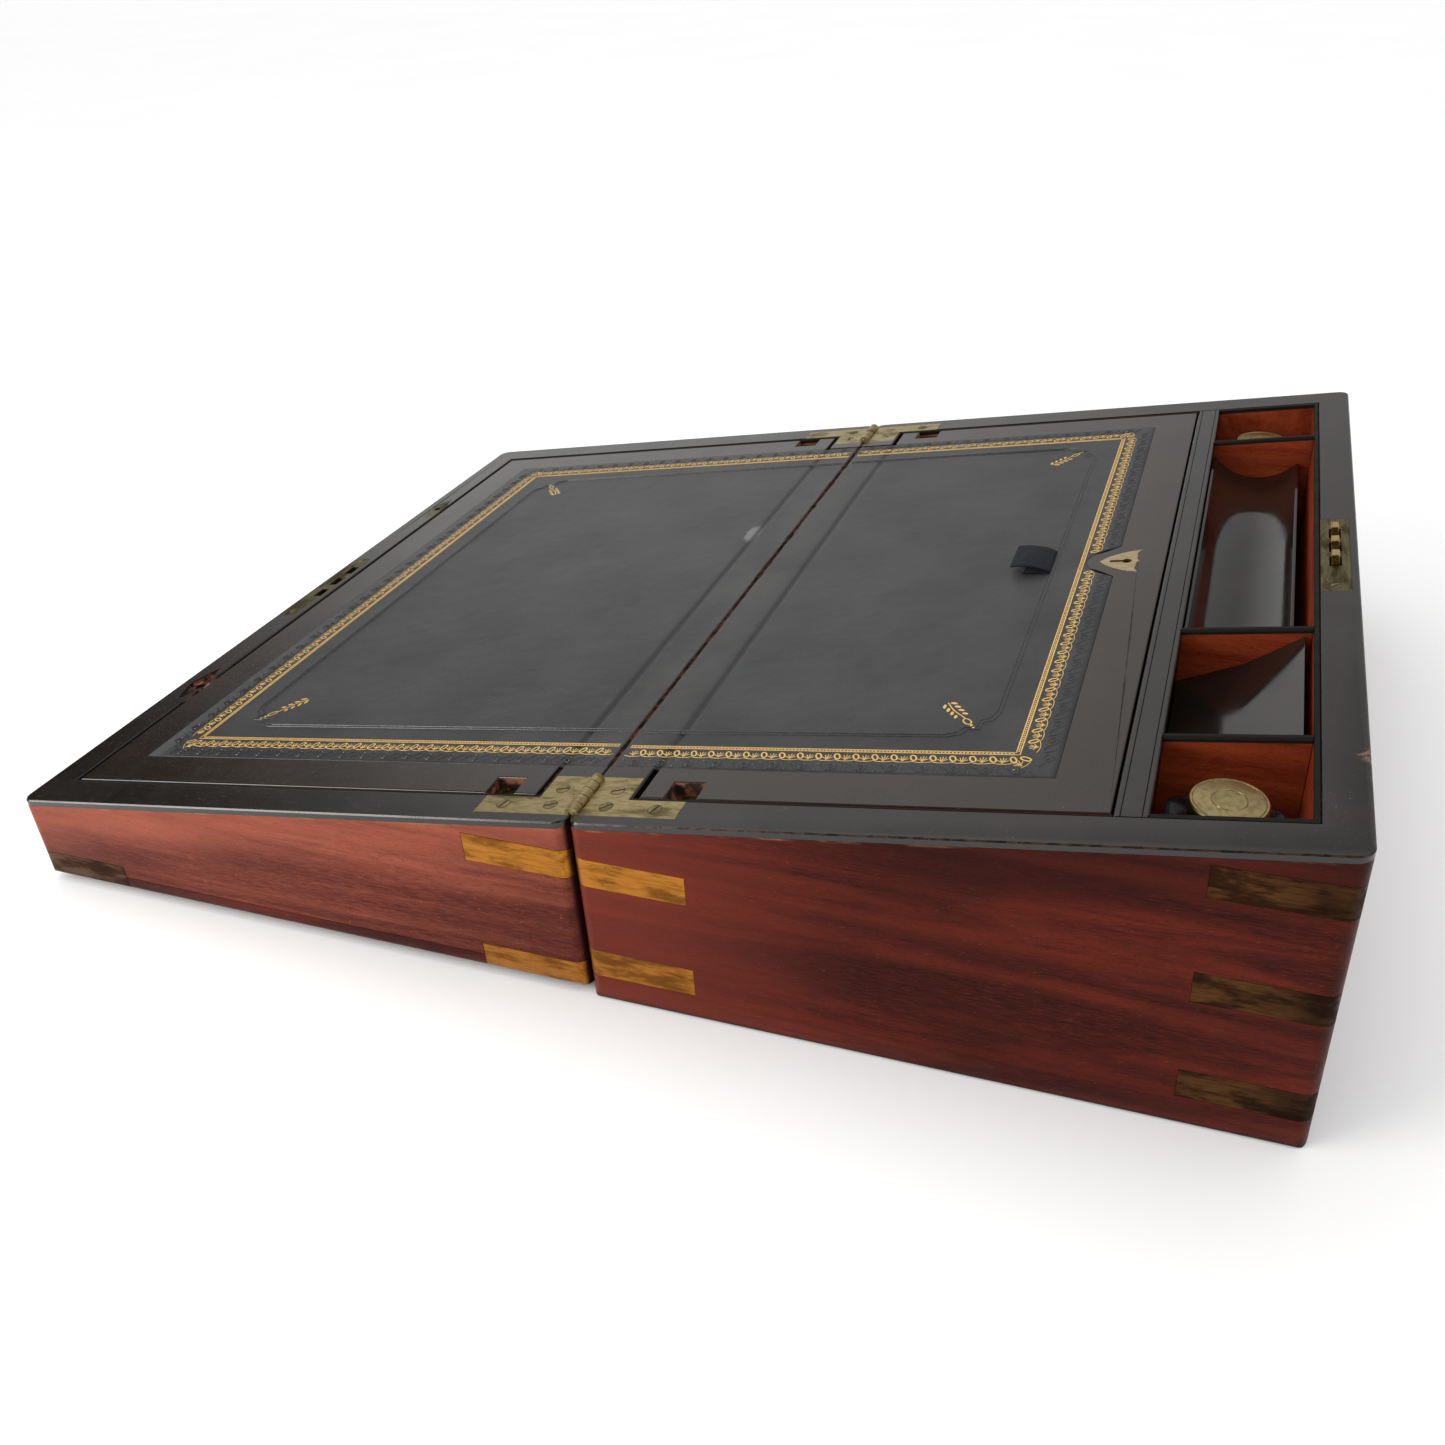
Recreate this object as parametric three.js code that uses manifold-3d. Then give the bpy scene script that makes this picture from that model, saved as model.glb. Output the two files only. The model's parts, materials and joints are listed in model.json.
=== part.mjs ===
// A portable writing slope: a brass-bound mahogany box that opens into one long sloping surface.
// Millimetres, +Z up. The hinge line runs along Y above the origin, the base lies at +X and the
// lid at -X, and the base stands on z = 0. "Slope" coordinates are (s, y, n): s runs up the sloping
// surface from the hinge line, and n is the height above the plane in which the two halves meet.
import * as THREE from 'three';
import { mergeVertices } from 'three/addons/utils/BufferGeometryUtils.js';
import Module from 'manifold-3d';

// ---- driving dimensions ----
const WIDTH = 400;
const DEPTH = 252;
const HINGE_HEIGHT = 80;
const FRONT_HEIGHT = 119;
const CLOSED_HEIGHT = 156;
const CORNER_RADIUS = 5;
const EDGE_RADIUS = 2;
const BUTT_GAP = 0.2;
const FACE_GAP = 0.15;
const JOINT_GAP = 0.1;
const FIT_GAP = 0.3;
const KNUCKLE_GAP = 0.3;
const ARC_SEGMENTS = 8;

const SIDE_BOARD = 12;
const END_BOARD = 11.4;
const BOTTOM_BOARD = 6;
const RIM_THICKNESS = 2.5;
const RIM_SIDE = 15.3;
const RIM_HINGE = 18.4;
const RIM_END = 14.4;
const RIM_EASE = 0.5;

const FLAP_THICKNESS = 8;
const FLAP_TOP = -0.45;
const FLAP_START = 20.6;
const BASE_FLAP_END = 181.1;
const LID_FLAP_END = 239.2;
const FLAP_SIDE_MARGIN = 17.1;
const BEAD = 1.3;
const BEAD_EASE = 0.35;
const BEARER_WIDTH = 10;
const BEARER_HEIGHT = 13;
const BEARER_LAP = 2;
const BASE_BEARER_END = 181.6;
const LID_BEARER_END = 240.4;

const LEATHER_TOP = -0.4;
const LEATHER_THICKNESS = 0.9;
const LEATHER_MARGIN = 35.5;
const BASE_LEATHER_END = 161.4;
const LID_LEATHER_END = 219.5;
const BAY = { half: 15, shoulder: [6, 9], neck: [9.5, 7.5], throat: [12.5, 5], tip: 148.5 };

const RAIL_START = 179.9;
const WELL_START = 190.3;
const WELL_END = 236;
const WELL_FLOOR_TOP = 60;
const WELL_FLOOR_THICKNESS = 5;
const WELL_MARGIN = 17.4;
const FITTING_TOP = -0.2;
const RAIL_BEAD = 1.8;
const RAIL_GROOVE = 0.35;
const RAIL_UNDERCUT = 9.5;
const ARRIS = 0.5;
const DIVIDER = 3.3;
const DIVIDER_EASE = 0.8;
const DIVIDER_CENTRES = [-137.65, -62.95, 137.15];

const STRAP_WIDTH = 12;
const STRAP_LENGTH = 42.5;
const STRAP_THICKNESS = 1.2;
const BASE_HINGE_STRAPS = [11.6, 53.2];
const BASE_FRONT_STRAPS = [12.7, 54, 95.2];
const LID_UPPER_STRAP = 55;

const BARREL_RADIUS = 2.5;
const BARREL_START = 5.5;
const KNUCKLES = 5;
const KNUCKLE_PITCH = 4.4;
const PIN_RADIUS = 1.1;
const PIN_CLEARANCE = 0.08;
const LEAF_THICKNESS = 1.6;
const LEAF = { start: 0.4, leg: 17.5, arm: 39.6, outer: 5, inner: 15, end: 28.5 };

const LOCK_HALF_LENGTH = 34;
const HOOKS = [-11.25, 2.25, 15.75];
const HOOK_S = 246.5;
const HOOK_RISE = 4.2;
const HOOK_WIDTH = 3.5;
const HOOK_HEAD = 5.5;
const HOOK_NOSE = 1.7;
const SLOT_LENGTH = 8.8;
const SLOT_WIDTH = 4.6;
const SLOT_LEAD = 0.6;
const LOCK_PLATE = { s: [241, 252], thickness: 2 };
const LOCK_CASE = { s: [243.3, 249.7], y: [-26, 32], n: [-27, -1], wall: 1 };
const LOCK_BOLT = { half: 1.5, y: [-16, 22], n: [-16, -6], neck: -8 };
const LOCK_KEYHOLE = { y: 2.25, z: 99, radius: 2.2, slot: 6.5, width: 2 };
const STRIKE = { s: [-254, -243], radius: 5 };

const ESCUTCHEON_TIP = 154;
const ESCUTCHEON_END = 171.3;
const ESCUTCHEON_HALF = 11;
const ESCUTCHEON_THICKNESS = 1.2;
const SHIELD = { shoulder: 5, waist: 3.2, horn: 1.6, dip: 2.6, middle: 0.6 };
const KEYHOLE_S = 165.4;
const KEYHOLE = { radius: 2, slot: 7, width: 1.8 };
const FLAP_LOCK = { s: [150, 180], half: 19, thickness: 7, keyhole: 5 };
const SOCKET_Y = 104;
const SOCKET_S = -245;
const SOCKET = { long: 15, short: 5, radius: 2.2, depth: 10 };
const NOTCHES = [30, 42];
const NOTCH_DEPTH = 10;

const CAP_RADIUS = 12.5;
const NECK_RADIUS = 10.2;
const BOTTLE_SIZE = 38;
const BOTTLE_SHOULDER = 30;
const BOTTLE_CORNER = 4;
const BOTTLE_EASE = 1.5;
const BOTTLE_WALL = 3;
const NECK_WALL = 2.5;
const CAP_TOP = 103.4;
const CAP_THICKNESS = 2;
const TRAY_WIDTH = 40;
const TRAY_TOP = 102.2;
const TRAY_UNDERSIDE = 88;
const TRAY_FOOT = 8;
const TRAY_LIP = 1.2;
const TROUGH_DEPTH = 8.9;
const FITTING_GAP = 0.5;
const RAMP_BOARD = 4;
const RAMP_LOW = 88.2;
const RAMP_FOLD = [214.5, 99.2];
const RAMP_HIGH = [233.3, 113.2];
const RIBBON_TAB = { s: [118, 135], half: 11, top: -0.1 };

// ---- worked out from the driving dimensions ----
const HALF = WIDTH / 2;
const RISE = (FRONT_HEIGHT - HINGE_HEIGHT) / DEPTH;
const TILT = Math.atan(RISE);
const COS = Math.cos(TILT);
const LID_UNDERSIDE = 2 * HINGE_HEIGHT - CLOSED_HEIGHT;
const RIM_UNDERSIDE = -FACE_GAP - RIM_THICKNESS;
const SLOPE_LENGTH = DEPTH / COS;
const RIM_END_INNER = SLOPE_LENGTH - RIM_END;
const INNER_HALF = HALF - SIDE_BOARD - JOINT_GAP;
const FLAP_HALF = HALF - FLAP_SIDE_MARGIN;
const LEATHER_HALF = HALF - LEATHER_MARGIN;
const FAR_AWAY = 600;

const slopeToWorld = new THREE.Matrix4()
  .makeTranslation(0, 0, HINGE_HEIGHT)
  .multiply(new THREE.Matrix4().makeRotationY(-TILT));
const worldToSlope = slopeToWorld.clone().invert();

// Height of the plane n = const above a point x.
const slopeZ = (x, n) => HINGE_HEIGHT + x * RISE + n / COS;

// ---- materials ----
const finish = (color, roughness, metalness = 0) =>
  new THREE.MeshStandardMaterial({ color, roughness, metalness });

const MAHOGANY = [0x6e2a1a, 0.35];
const WELL_WOOD = [0x7a3418, 0.6];
const EBONY = [0x1d1c1a, 0.25];
const LEATHER = [0x26272b, 0.7];
const BRASS = [0xb58a3c, 0.35, 0.9];
const PALE_BRASS = [0xc2b07a, 0.3, 0.9];
const STEEL = [0x8c8a84, 0.4, 0.9];
const RIBBON = [0x1c2033, 0.85];
const GLASS = [0xd8e4e0, 0.08];

// ---- solids ----
const wasm = await Module();
wasm.setup();

function solid(geometry) {
  const bare = geometry.clone();
  bare.deleteAttribute('normal');
  bare.deleteAttribute('uv');
  const merged = mergeVertices(bare, 1e-4);
  const mesh = new wasm.Mesh({
    numProp: 3,
    vertProperties: merged.attributes.position.array,
    triVerts: new Uint32Array(merged.index.array),
  });
  return new wasm.Manifold(mesh);
}

function geometryOf(manifold) {
  const mesh = manifold.getMesh();
  const geometry = new THREE.BufferGeometry();
  geometry.setAttribute('position', new THREE.BufferAttribute(mesh.vertProperties, 3));
  geometry.setIndex(new THREE.BufferAttribute(mesh.triVerts, 1));
  const faceted = geometry.toNonIndexed();
  faceted.computeVertexNormals();
  return faceted;
}

const join = (...parts) => geometryOf(parts.map(solid).reduce((sum, part) => sum.add(part)));
const common = (...parts) => geometryOf(parts.map(solid).reduce((sum, part) => sum.intersect(part)));

function cut(body, ...tools) {
  return geometryOf(tools.reduce((rest, tool) => rest.subtract(solid(tool)), solid(body)));
}

const onSlope = (geometry) => geometry.clone().applyMatrix4(slopeToWorld);
const offSlope = (geometry) => geometry.clone().applyMatrix4(worldToSlope);

function block([x0, x1], [y0, y1], [z0, z1]) {
  const box = new THREE.BoxGeometry(x1 - x0, y1 - y0, z1 - z0);
  return box.translate((x0 + x1) / 2, (y0 + y1) / 2, (z0 + z1) / 2);
}

const outline = (points) => new THREE.Shape(points.map(([a, b]) => new THREE.Vector2(a, b)));

function extrude(shape, depth, segments = 5) {
  return new THREE.ExtrudeGeometry(shape, { depth, bevelEnabled: false, curveSegments: segments });
}

// A profile in (x, z) or (s, n), carried along Y.
function alongY(points, y0, y1) {
  return extrude(outline(points), y1 - y0).rotateX(Math.PI / 2).translate(0, y1, 0);
}

// A profile in (y, z) or (y, n), carried along X or s.
function alongX(points, x0, x1) {
  return extrude(outline(points), x1 - x0).rotateX(Math.PI / 2).rotateZ(Math.PI / 2).translate(x0, 0, 0);
}

function roundedRectangle([x0, x1], [y0, y1], radius) {
  const shape = new THREE.Shape();
  shape.moveTo(x0 + radius, y0);
  shape.lineTo(x1 - radius, y0);
  shape.absarc(x1 - radius, y0 + radius, radius, -Math.PI / 2, 0, false);
  shape.lineTo(x1, y1 - radius);
  shape.absarc(x1 - radius, y1 - radius, radius, 0, Math.PI / 2, false);
  shape.lineTo(x0 + radius, y1);
  shape.absarc(x0 + radius, y1 - radius, radius, Math.PI / 2, Math.PI, false);
  shape.lineTo(x0, y0 + radius);
  shape.absarc(x0 + radius, y0 + radius, radius, Math.PI, 1.5 * Math.PI, false);
  return shape;
}

// A sheet in slope coordinates whose upper face is at n = top.
function sheet(shape, top, thickness, segments = 5) {
  return extrude(shape, thickness, segments).translate(0, 0, top - thickness);
}

// The same with its edges eased all round.
function easedSheet(shape, top, thickness, ease) {
  const settings = {
    depth: thickness - 2 * ease,
    bevelThickness: ease,
    bevelSize: ease,
    bevelOffset: -ease,
    bevelSegments: 1,
    curveSegments: 5,
  };
  return new THREE.ExtrudeGeometry(shape, settings).translate(0, 0, top - thickness + ease);
}

function cylinderAlongY(radius, y0, y1, segments = 24) {
  return new THREE.CylinderGeometry(radius, radius, y1 - y0, segments).translate(0, (y0 + y1) / 2, 0);
}

function cylinderUp(radius, x, y, z0, z1, segments = 32) {
  const upright = new THREE.CylinderGeometry(radius, radius, z1 - z0, segments).rotateX(Math.PI / 2);
  return upright.translate(x, y, (z0 + z1) / 2);
}

const rectangle = (s, y) => outline([[s[0], y[0]], [s[1], y[0]], [s[1], y[1]], [s[0], y[1]]]);
const span = (a, b) => [Math.min(a, b), Math.max(a, b)];

// ---- the outer shape of each half; way is +1 for the base and -1 for the lid ----
function planOutline(way, inset = 0) {
  const near = way * (BUTT_GAP + inset);
  const end = way * (DEPTH - inset);
  const y = HALF - inset;
  return roundedRectangle(span(near, end), [-y, y], CORNER_RADIUS - inset);
}

function halfEnvelope(way, floor) {
  const near = way * BUTT_GAP;
  const end = way * DEPTH;
  const plan = extrude(planOutline(way), FAR_AWAY, ARC_SEGMENTS).translate(0, 0, -FAR_AWAY / 2);
  const eased = EDGE_RADIUS * (1 - Math.SQRT1_2);
  const ends = alongY([
    [near, floor],
    [end - way * EDGE_RADIUS, floor],
    [end - way * eased, floor + eased],
    [end, floor + EDGE_RADIUS],
    [end, slopeZ(end, -FACE_GAP)],
    [near, slopeZ(near, -FACE_GAP)],
  ], -FAR_AWAY, FAR_AWAY);
  const flanks = alongX([
    [-HALF, floor + EDGE_RADIUS],
    [-HALF + eased, floor + eased],
    [-HALF + EDGE_RADIUS, floor],
    [HALF - EDGE_RADIUS, floor],
    [HALF - eased, floor + eased],
    [HALF, floor + EDGE_RADIUS],
    [HALF, FAR_AWAY],
    [-HALF, FAR_AWAY],
  ], -FAR_AWAY, FAR_AWAY);
  return common(plan, ends, flanks);
}

// Everything below the plane n = level.
const below = (level) => alongY([
  [-FAR_AWAY, -FAR_AWAY],
  [FAR_AWAY, -FAR_AWAY],
  [FAR_AWAY, slopeZ(FAR_AWAY, level)],
  [-FAR_AWAY, slopeZ(-FAR_AWAY, level)],
], -FAR_AWAY, FAR_AWAY);

// The opening inside a rim, grown by a gap.
function rimOpening(way, grow = 0) {
  const s = span(way * (RIM_HINGE - grow), way * (RIM_END_INNER + grow));
  const y = HALF - RIM_SIDE + grow;
  return rectangle(s, [-y, y]);
}

// The space a rim takes, with a joint gap round it.
function rimSpace(way) {
  const shape = rectangle([-FAR_AWAY, FAR_AWAY], [-FAR_AWAY, FAR_AWAY]);
  shape.holes.push(rimOpening(way, -JOINT_GAP));
  return onSlope(sheet(shape, RIM_THICKNESS, 2 * RIM_THICKNESS + FACE_GAP + JOINT_GAP));
}

// ---- brass straps let into the corners ----
// The L-shaped space round one upright corner; grow turns a strap into the recess it lies in.
function cornerSpace(way, cornerX, cornerY, bottom, height, grow = 0) {
  const inset = STRAP_THICKNESS + grow;
  const plan = planOutline(way, inset);
  const core = extrude(plan, FAR_AWAY, ARC_SEGMENTS).translate(0, 0, -FAR_AWAY / 2);
  const reach = STRAP_LENGTH + grow;
  const inward = cornerX === way * DEPTH ? -way : way;
  const window = block(
    span(cornerX - inward, cornerX + inward * reach),
    span(cornerY + Math.sign(cornerY), cornerY - Math.sign(cornerY) * reach),
    [bottom - grow, bottom + height + grow],
  );
  return cut(window, core);
}

function strapPlaces(way) {
  const places = [];
  for (const [side, y] of [['near', -HALF], ['far', HALF]]) {
    const hinge = way * BUTT_GAP;
    const end = way * DEPTH;
    if (way > 0) {
      BASE_HINGE_STRAPS.forEach((z, i) => places.push([`base_strap_hinge_${side}_${i + 1}`, hinge, y, z]));
      BASE_FRONT_STRAPS.forEach((z, i) => places.push([`base_strap_front_${side}_${i + 1}`, end, y, z]));
    } else {
      places.push([`lid_strap_hinge_${side}_1`, hinge, y, LID_UNDERSIDE]);
      places.push([`lid_strap_hinge_${side}_2`, hinge, y, LID_UPPER_STRAP]);
      places.push([`lid_strap_end_${side}`, end, y, LID_UNDERSIDE]);
    }
  }
  return places;
}

// ---- hinges: an L-shaped leaf on each half, five knuckles and a pin ----
// hand is -1 at the near end of the box and +1 at the far end.
const knuckleSpan = (index) => [
  BARREL_START + index * KNUCKLE_PITCH,
  BARREL_START + (index + 1) * KNUCKLE_PITCH - KNUCKLE_GAP,
];
const BARREL_END = BARREL_START + KNUCKLES * KNUCKLE_PITCH;

function inFromEnd(hand, [a, b]) {
  return span(hand * (HALF - a), hand * (HALF - b));
}

function leafOutline(way, hand, grow) {
  const start = way * (LEAF.start - grow);
  const leg = way * (LEAF.leg + grow);
  const arm = way * (LEAF.arm + grow);
  const outer = hand * (HALF - LEAF.outer + grow);
  const inner = hand * (HALF - LEAF.inner - grow);
  const end = hand * (HALF - LEAF.end - grow);
  return outline([[start, outer], [arm, outer], [arm, inner], [leg, inner], [leg, end], [start, end]]);
}

function hingeLeaf(way, hand) {
  const mine = (index) => index % 2 === (way > 0 ? 0 : 1);
  const indices = [...Array(KNUCKLES).keys()];
  const leaf = solid(sheet(leafOutline(way, hand, 0), -FACE_GAP, LEAF_THICKNESS));
  const knuckles = indices.filter(mine).map((index) => {
    const y = inFromEnd(hand, knuckleSpan(index));
    return solid(cylinderAlongY(BARREL_RADIUS, ...y));
  });
  const clearances = indices.filter((index) => !mine(index)).map((index) => {
    const [y0, y1] = inFromEnd(hand, knuckleSpan(index));
    return solid(cylinderAlongY(BARREL_RADIUS + FIT_GAP, y0 - KNUCKLE_GAP / 2, y1 + KNUCKLE_GAP / 2));
  });
  const bore = solid(cylinderAlongY(PIN_RADIUS + PIN_CLEARANCE, -HALF, HALF));
  const whole = knuckles.reduce((sum, knuckle) => sum.add(knuckle), leaf);
  return geometryOf(clearances.reduce((rest, gap) => rest.subtract(gap), whole).subtract(bore));
}

function hingePin(hand) {
  const y = inFromEnd(hand, [BARREL_START, BARREL_END - KNUCKLE_GAP]);
  return cylinderAlongY(PIN_RADIUS, ...y);
}

function hingeRecesses(way) {
  return [-1, 1].flatMap((hand) => {
    const bed = leafOutline(way, hand, JOINT_GAP);
    const barrel = inFromEnd(hand, [BARREL_START - FIT_GAP, BARREL_END + FIT_GAP]);
    return [
      onSlope(sheet(bed, 1, LEAF_THICKNESS + 1 + FACE_GAP + JOINT_GAP)),
      onSlope(cylinderAlongY(BARREL_RADIUS + FIT_GAP, ...barrel)),
    ];
  });
}

// ---- rims, bearers and flaps ----
function leatherRecess(way) {
  const s = span(way * -1, way * (RIM_HINGE + 1));
  const depth = LEATHER_THICKNESS - LEATHER_TOP + JOINT_GAP;
  const y = LEATHER_HALF + JOINT_GAP;
  return onSlope(sheet(rectangle(s, [-y, y]), 1, 1 + depth));
}

function rim(way, envelope, ...recesses) {
  const shape = roundedRectangle(
    span(way * BUTT_GAP, way * SLOPE_LENGTH),
    [-HALF, HALF],
    CORNER_RADIUS,
  );
  shape.holes.push(rimOpening(way));
  const ring = onSlope(easedSheet(shape, -FACE_GAP, RIM_THICKNESS + 2 * RIM_EASE, RIM_EASE));
  const slab = common(ring, envelope);
  const trimmed = cut(slab, below(RIM_UNDERSIDE));
  return cut(trimmed, leatherRecess(way), ...hingeRecesses(way), ...recesses);
}

// A strip on a side board: a ledge that carries the flap, and a bead that stands beside it.
function sideBearer(way, hand, end) {
  const inner = hand * (HALF - SIDE_BOARD);
  const lap = inner + hand * BEARER_LAP;
  const bead = hand * (HALF - RIM_SIDE - JOINT_GAP);
  const beadIn = bead - hand * BEAD;
  const ledgeIn = inner - hand * BEARER_WIDTH;
  const ledge = FLAP_TOP - FLAP_THICKNESS - JOINT_GAP;
  const profile = [
    [lap, ledge - BEARER_HEIGHT],
    [ledgeIn, ledge - BEARER_HEIGHT],
    [ledgeIn, ledge],
    [beadIn, ledge],
    [beadIn, FLAP_TOP - BEAD_EASE],
    [beadIn + hand * BEAD_EASE, FLAP_TOP],
    [bead - hand * BEAD_EASE, FLAP_TOP],
    [bead, FLAP_TOP - BEAD_EASE],
    [bead, RIM_UNDERSIDE - JOINT_GAP],
    [lap, RIM_UNDERSIDE - JOINT_GAP],
  ];
  return onSlope(alongX(profile, ...span(way * (RIM_HINGE + JOINT_GAP), way * end)));
}

function flapOutline(way, end) {
  const s0 = way * FLAP_START;
  const s1 = way * end;
  const notch = NOTCHES.map((s) => way * s);
  const inner = FLAP_HALF - NOTCH_DEPTH;
  return outline([
    [s0, -FLAP_HALF],
    [notch[0], -FLAP_HALF],
    [notch[0], -inner],
    [notch[1], -inner],
    [notch[1], -FLAP_HALF],
    [s1, -FLAP_HALF],
    [s1, FLAP_HALF],
    [notch[1], FLAP_HALF],
    [notch[1], inner],
    [notch[0], inner],
    [notch[0], FLAP_HALF],
    [s0, FLAP_HALF],
  ]);
}

// The leather stops short of the escutcheon in a pointed bay.
function leatherOutline(way, [s0, s1], grow, bay) {
  const start = way * (s0 - grow);
  const end = way * (s1 + grow);
  const y = LEATHER_HALF + grow;
  const [shoulder, shoulderY] = BAY.shoulder;
  const [neck, neckY] = BAY.neck;
  const [throat, throatY] = BAY.throat;
  const shape = new THREE.Shape();
  shape.moveTo(start, -y);
  shape.lineTo(end, -y);
  if (bay) {
    shape.lineTo(end, grow - BAY.half);
    shape.quadraticCurveTo(end - shoulder, grow - shoulderY, end - neck, grow - neckY);
    shape.quadraticCurveTo(end - throat, -throatY, BAY.tip + grow, 0);
    shape.quadraticCurveTo(end - throat, throatY, end - neck, neckY - grow);
    shape.quadraticCurveTo(end - shoulder, shoulderY - grow, end, BAY.half - grow);
  }
  shape.lineTo(end, y);
  shape.lineTo(start, y);
  shape.closePath();
  return shape;
}

function leather(way, extent, bay = false) {
  return sheet(leatherOutline(way, extent, 0, bay), LEATHER_TOP, LEATHER_THICKNESS, 4);
}

function flap(way, end, leatherEnd, bay, ...recesses) {
  const board = easedSheet(flapOutline(way, end), FLAP_TOP, FLAP_THICKNESS, BEAD_EASE);
  const bed = leatherOutline(way, [FLAP_START - 2, leatherEnd], JOINT_GAP, bay);
  const recess = sheet(bed, 1, 1 + LEATHER_THICKNESS - LEATHER_TOP + JOINT_GAP, 4);
  return cut(board, recess, ...recesses);
}

// ---- the small lock of the base flap ----
function escutcheonOutline(grow = 0) {
  const tip = ESCUTCHEON_TIP - grow;
  const end = ESCUTCHEON_END + grow;
  const half = ESCUTCHEON_HALF + grow;
  const { shoulder, waist, horn, dip, middle } = SHIELD;
  const shape = new THREE.Shape();
  shape.moveTo(tip, 0);
  shape.quadraticCurveTo(tip + shoulder, -half * 0.75, end, -half);
  shape.quadraticCurveTo(end - waist, -half * 0.72, end - horn, -half * 0.42);
  shape.quadraticCurveTo(end - dip, -half * 0.2, end - middle, 0);
  shape.quadraticCurveTo(end - dip, half * 0.2, end - horn, half * 0.42);
  shape.quadraticCurveTo(end - waist, half * 0.72, end, half);
  shape.quadraticCurveTo(tip + shoulder, half * 0.75, tip, 0);
  return shape;
}

function keyhole(top, depth, grow = 0) {
  const half = KEYHOLE.width / 2 + grow;
  const slot = sheet(rectangle([KEYHOLE_S - KEYHOLE.slot, KEYHOLE_S], [-half, half]), top, depth);
  const eye = cylinderUp(KEYHOLE.radius + grow, KEYHOLE_S, 0, top - depth, top, 20);
  return join(slot, eye);
}

const FLAP_UNDERSIDE = FLAP_TOP - FLAP_THICKNESS;
const FLAP_LOCK_TOP = FLAP_UNDERSIDE - JOINT_GAP;
const FLAP_BOLT = { y: 5, top: FLAP_LOCK_TOP - 1.6, thickness: 3, start: 160, end: 178.9, eye: 2.6 };

function flapLock() {
  const body = sheet(
    rectangle(FLAP_LOCK.s, [-FLAP_LOCK.half, FLAP_LOCK.half]),
    FLAP_LOCK_TOP,
    FLAP_LOCK.thickness,
  );
  const half = FLAP_BOLT.y + FIT_GAP;
  const channel = sheet(
    rectangle([FLAP_BOLT.start - 1, FAR_AWAY], [-half, half]),
    FLAP_BOLT.top + FIT_GAP,
    FLAP_BOLT.thickness + 2 * FIT_GAP,
  );
  return cut(body, channel, keyhole(FLAP_LOCK_TOP + 1, FLAP_LOCK.keyhole, FIT_GAP));
}

function flapLockBolt() {
  const { y, top, thickness, start, end, eye } = FLAP_BOLT;
  const bar = sheet(rectangle([start, end], [-y, y]), top, thickness);
  return cut(bar, cylinderUp(eye, KEYHOLE_S, 0, top - thickness - 1, top + 1, 20));
}

// ---- the lock of the box ----
function lockSlots(way, top, depth) {
  const s = span(way * (HOOK_S - SLOT_WIDTH / 2), way * (HOOK_S + SLOT_WIDTH / 2));
  return HOOKS.map((y) => {
    const start = y - SLOT_LEAD;
    return sheet(rectangle(s, [start, start + SLOT_LENGTH]), top, depth);
  });
}

// The keyhole runs level through the front board and into the lock case.
function boxKeyhole(grow = 0) {
  const { y, z, radius, slot, width } = LOCK_KEYHOLE;
  const x = [DEPTH - END_BOARD / 2, DEPTH + 1];
  const half = width / 2 + grow;
  const eye = new THREE.CylinderGeometry(radius + grow, radius + grow, x[1] - x[0], 20);
  eye.rotateZ(Math.PI / 2).translate((x[0] + x[1]) / 2, y, z);
  return join(eye, block(x, [y - half, y + half], [z - slot - grow, z]));
}

function boxLock(grow = 0) {
  const wider = ([a, b]) => [a - grow, b + grow];
  const half = LOCK_HALF_LENGTH + grow;
  const top = -FACE_GAP + grow * 10;
  const plateThickness = top + FACE_GAP + LOCK_PLATE.thickness + grow;
  const plate = sheet(rectangle(wider(LOCK_PLATE.s), [-half, half]), top, plateThickness);
  const [low, high] = LOCK_CASE.n;
  const body = block(wider(LOCK_CASE.s), wider(LOCK_CASE.y), [low - grow, high]);
  return join(plate, body);
}

function hollowBoxLock() {
  const inside = ([a, b]) => [a + LOCK_CASE.wall, b - LOCK_CASE.wall];
  const height = [LOCK_CASE.n[0] + LOCK_CASE.wall, -1 - LOCK_PLATE.thickness];
  const cavity = block(inside(LOCK_CASE.s), inside(LOCK_CASE.y), height);
  return cut(boxLock(), cavity, offSlope(boxKeyhole(FIT_GAP)), ...lockSlots(1, 2, 8));
}

function boxLockBolt() {
  const s = [HOOK_S - LOCK_BOLT.half, HOOK_S + LOCK_BOLT.half];
  const hooks = HOOKS.flatMap((y) => [
    block(s, [y, y + HOOK_WIDTH], [LOCK_BOLT.neck, HOOK_RISE]),
    block(s, [y, y + HOOK_HEAD], [HOOK_RISE - HOOK_NOSE, HOOK_RISE]),
  ]);
  return join(block(s, LOCK_BOLT.y, LOCK_BOLT.n), ...hooks);
}

function strikePlate(grow = 0) {
  const s = [STRIKE.s[0] - grow, STRIKE.s[1] + grow];
  const y = LOCK_HALF_LENGTH + grow;
  const top = -FACE_GAP + grow * 10;
  const thickness = top + FACE_GAP + LEAF_THICKNESS + grow;
  return sheet(roundedRectangle(s, [-y, y], STRIKE.radius), top, thickness, 8);
}

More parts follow.
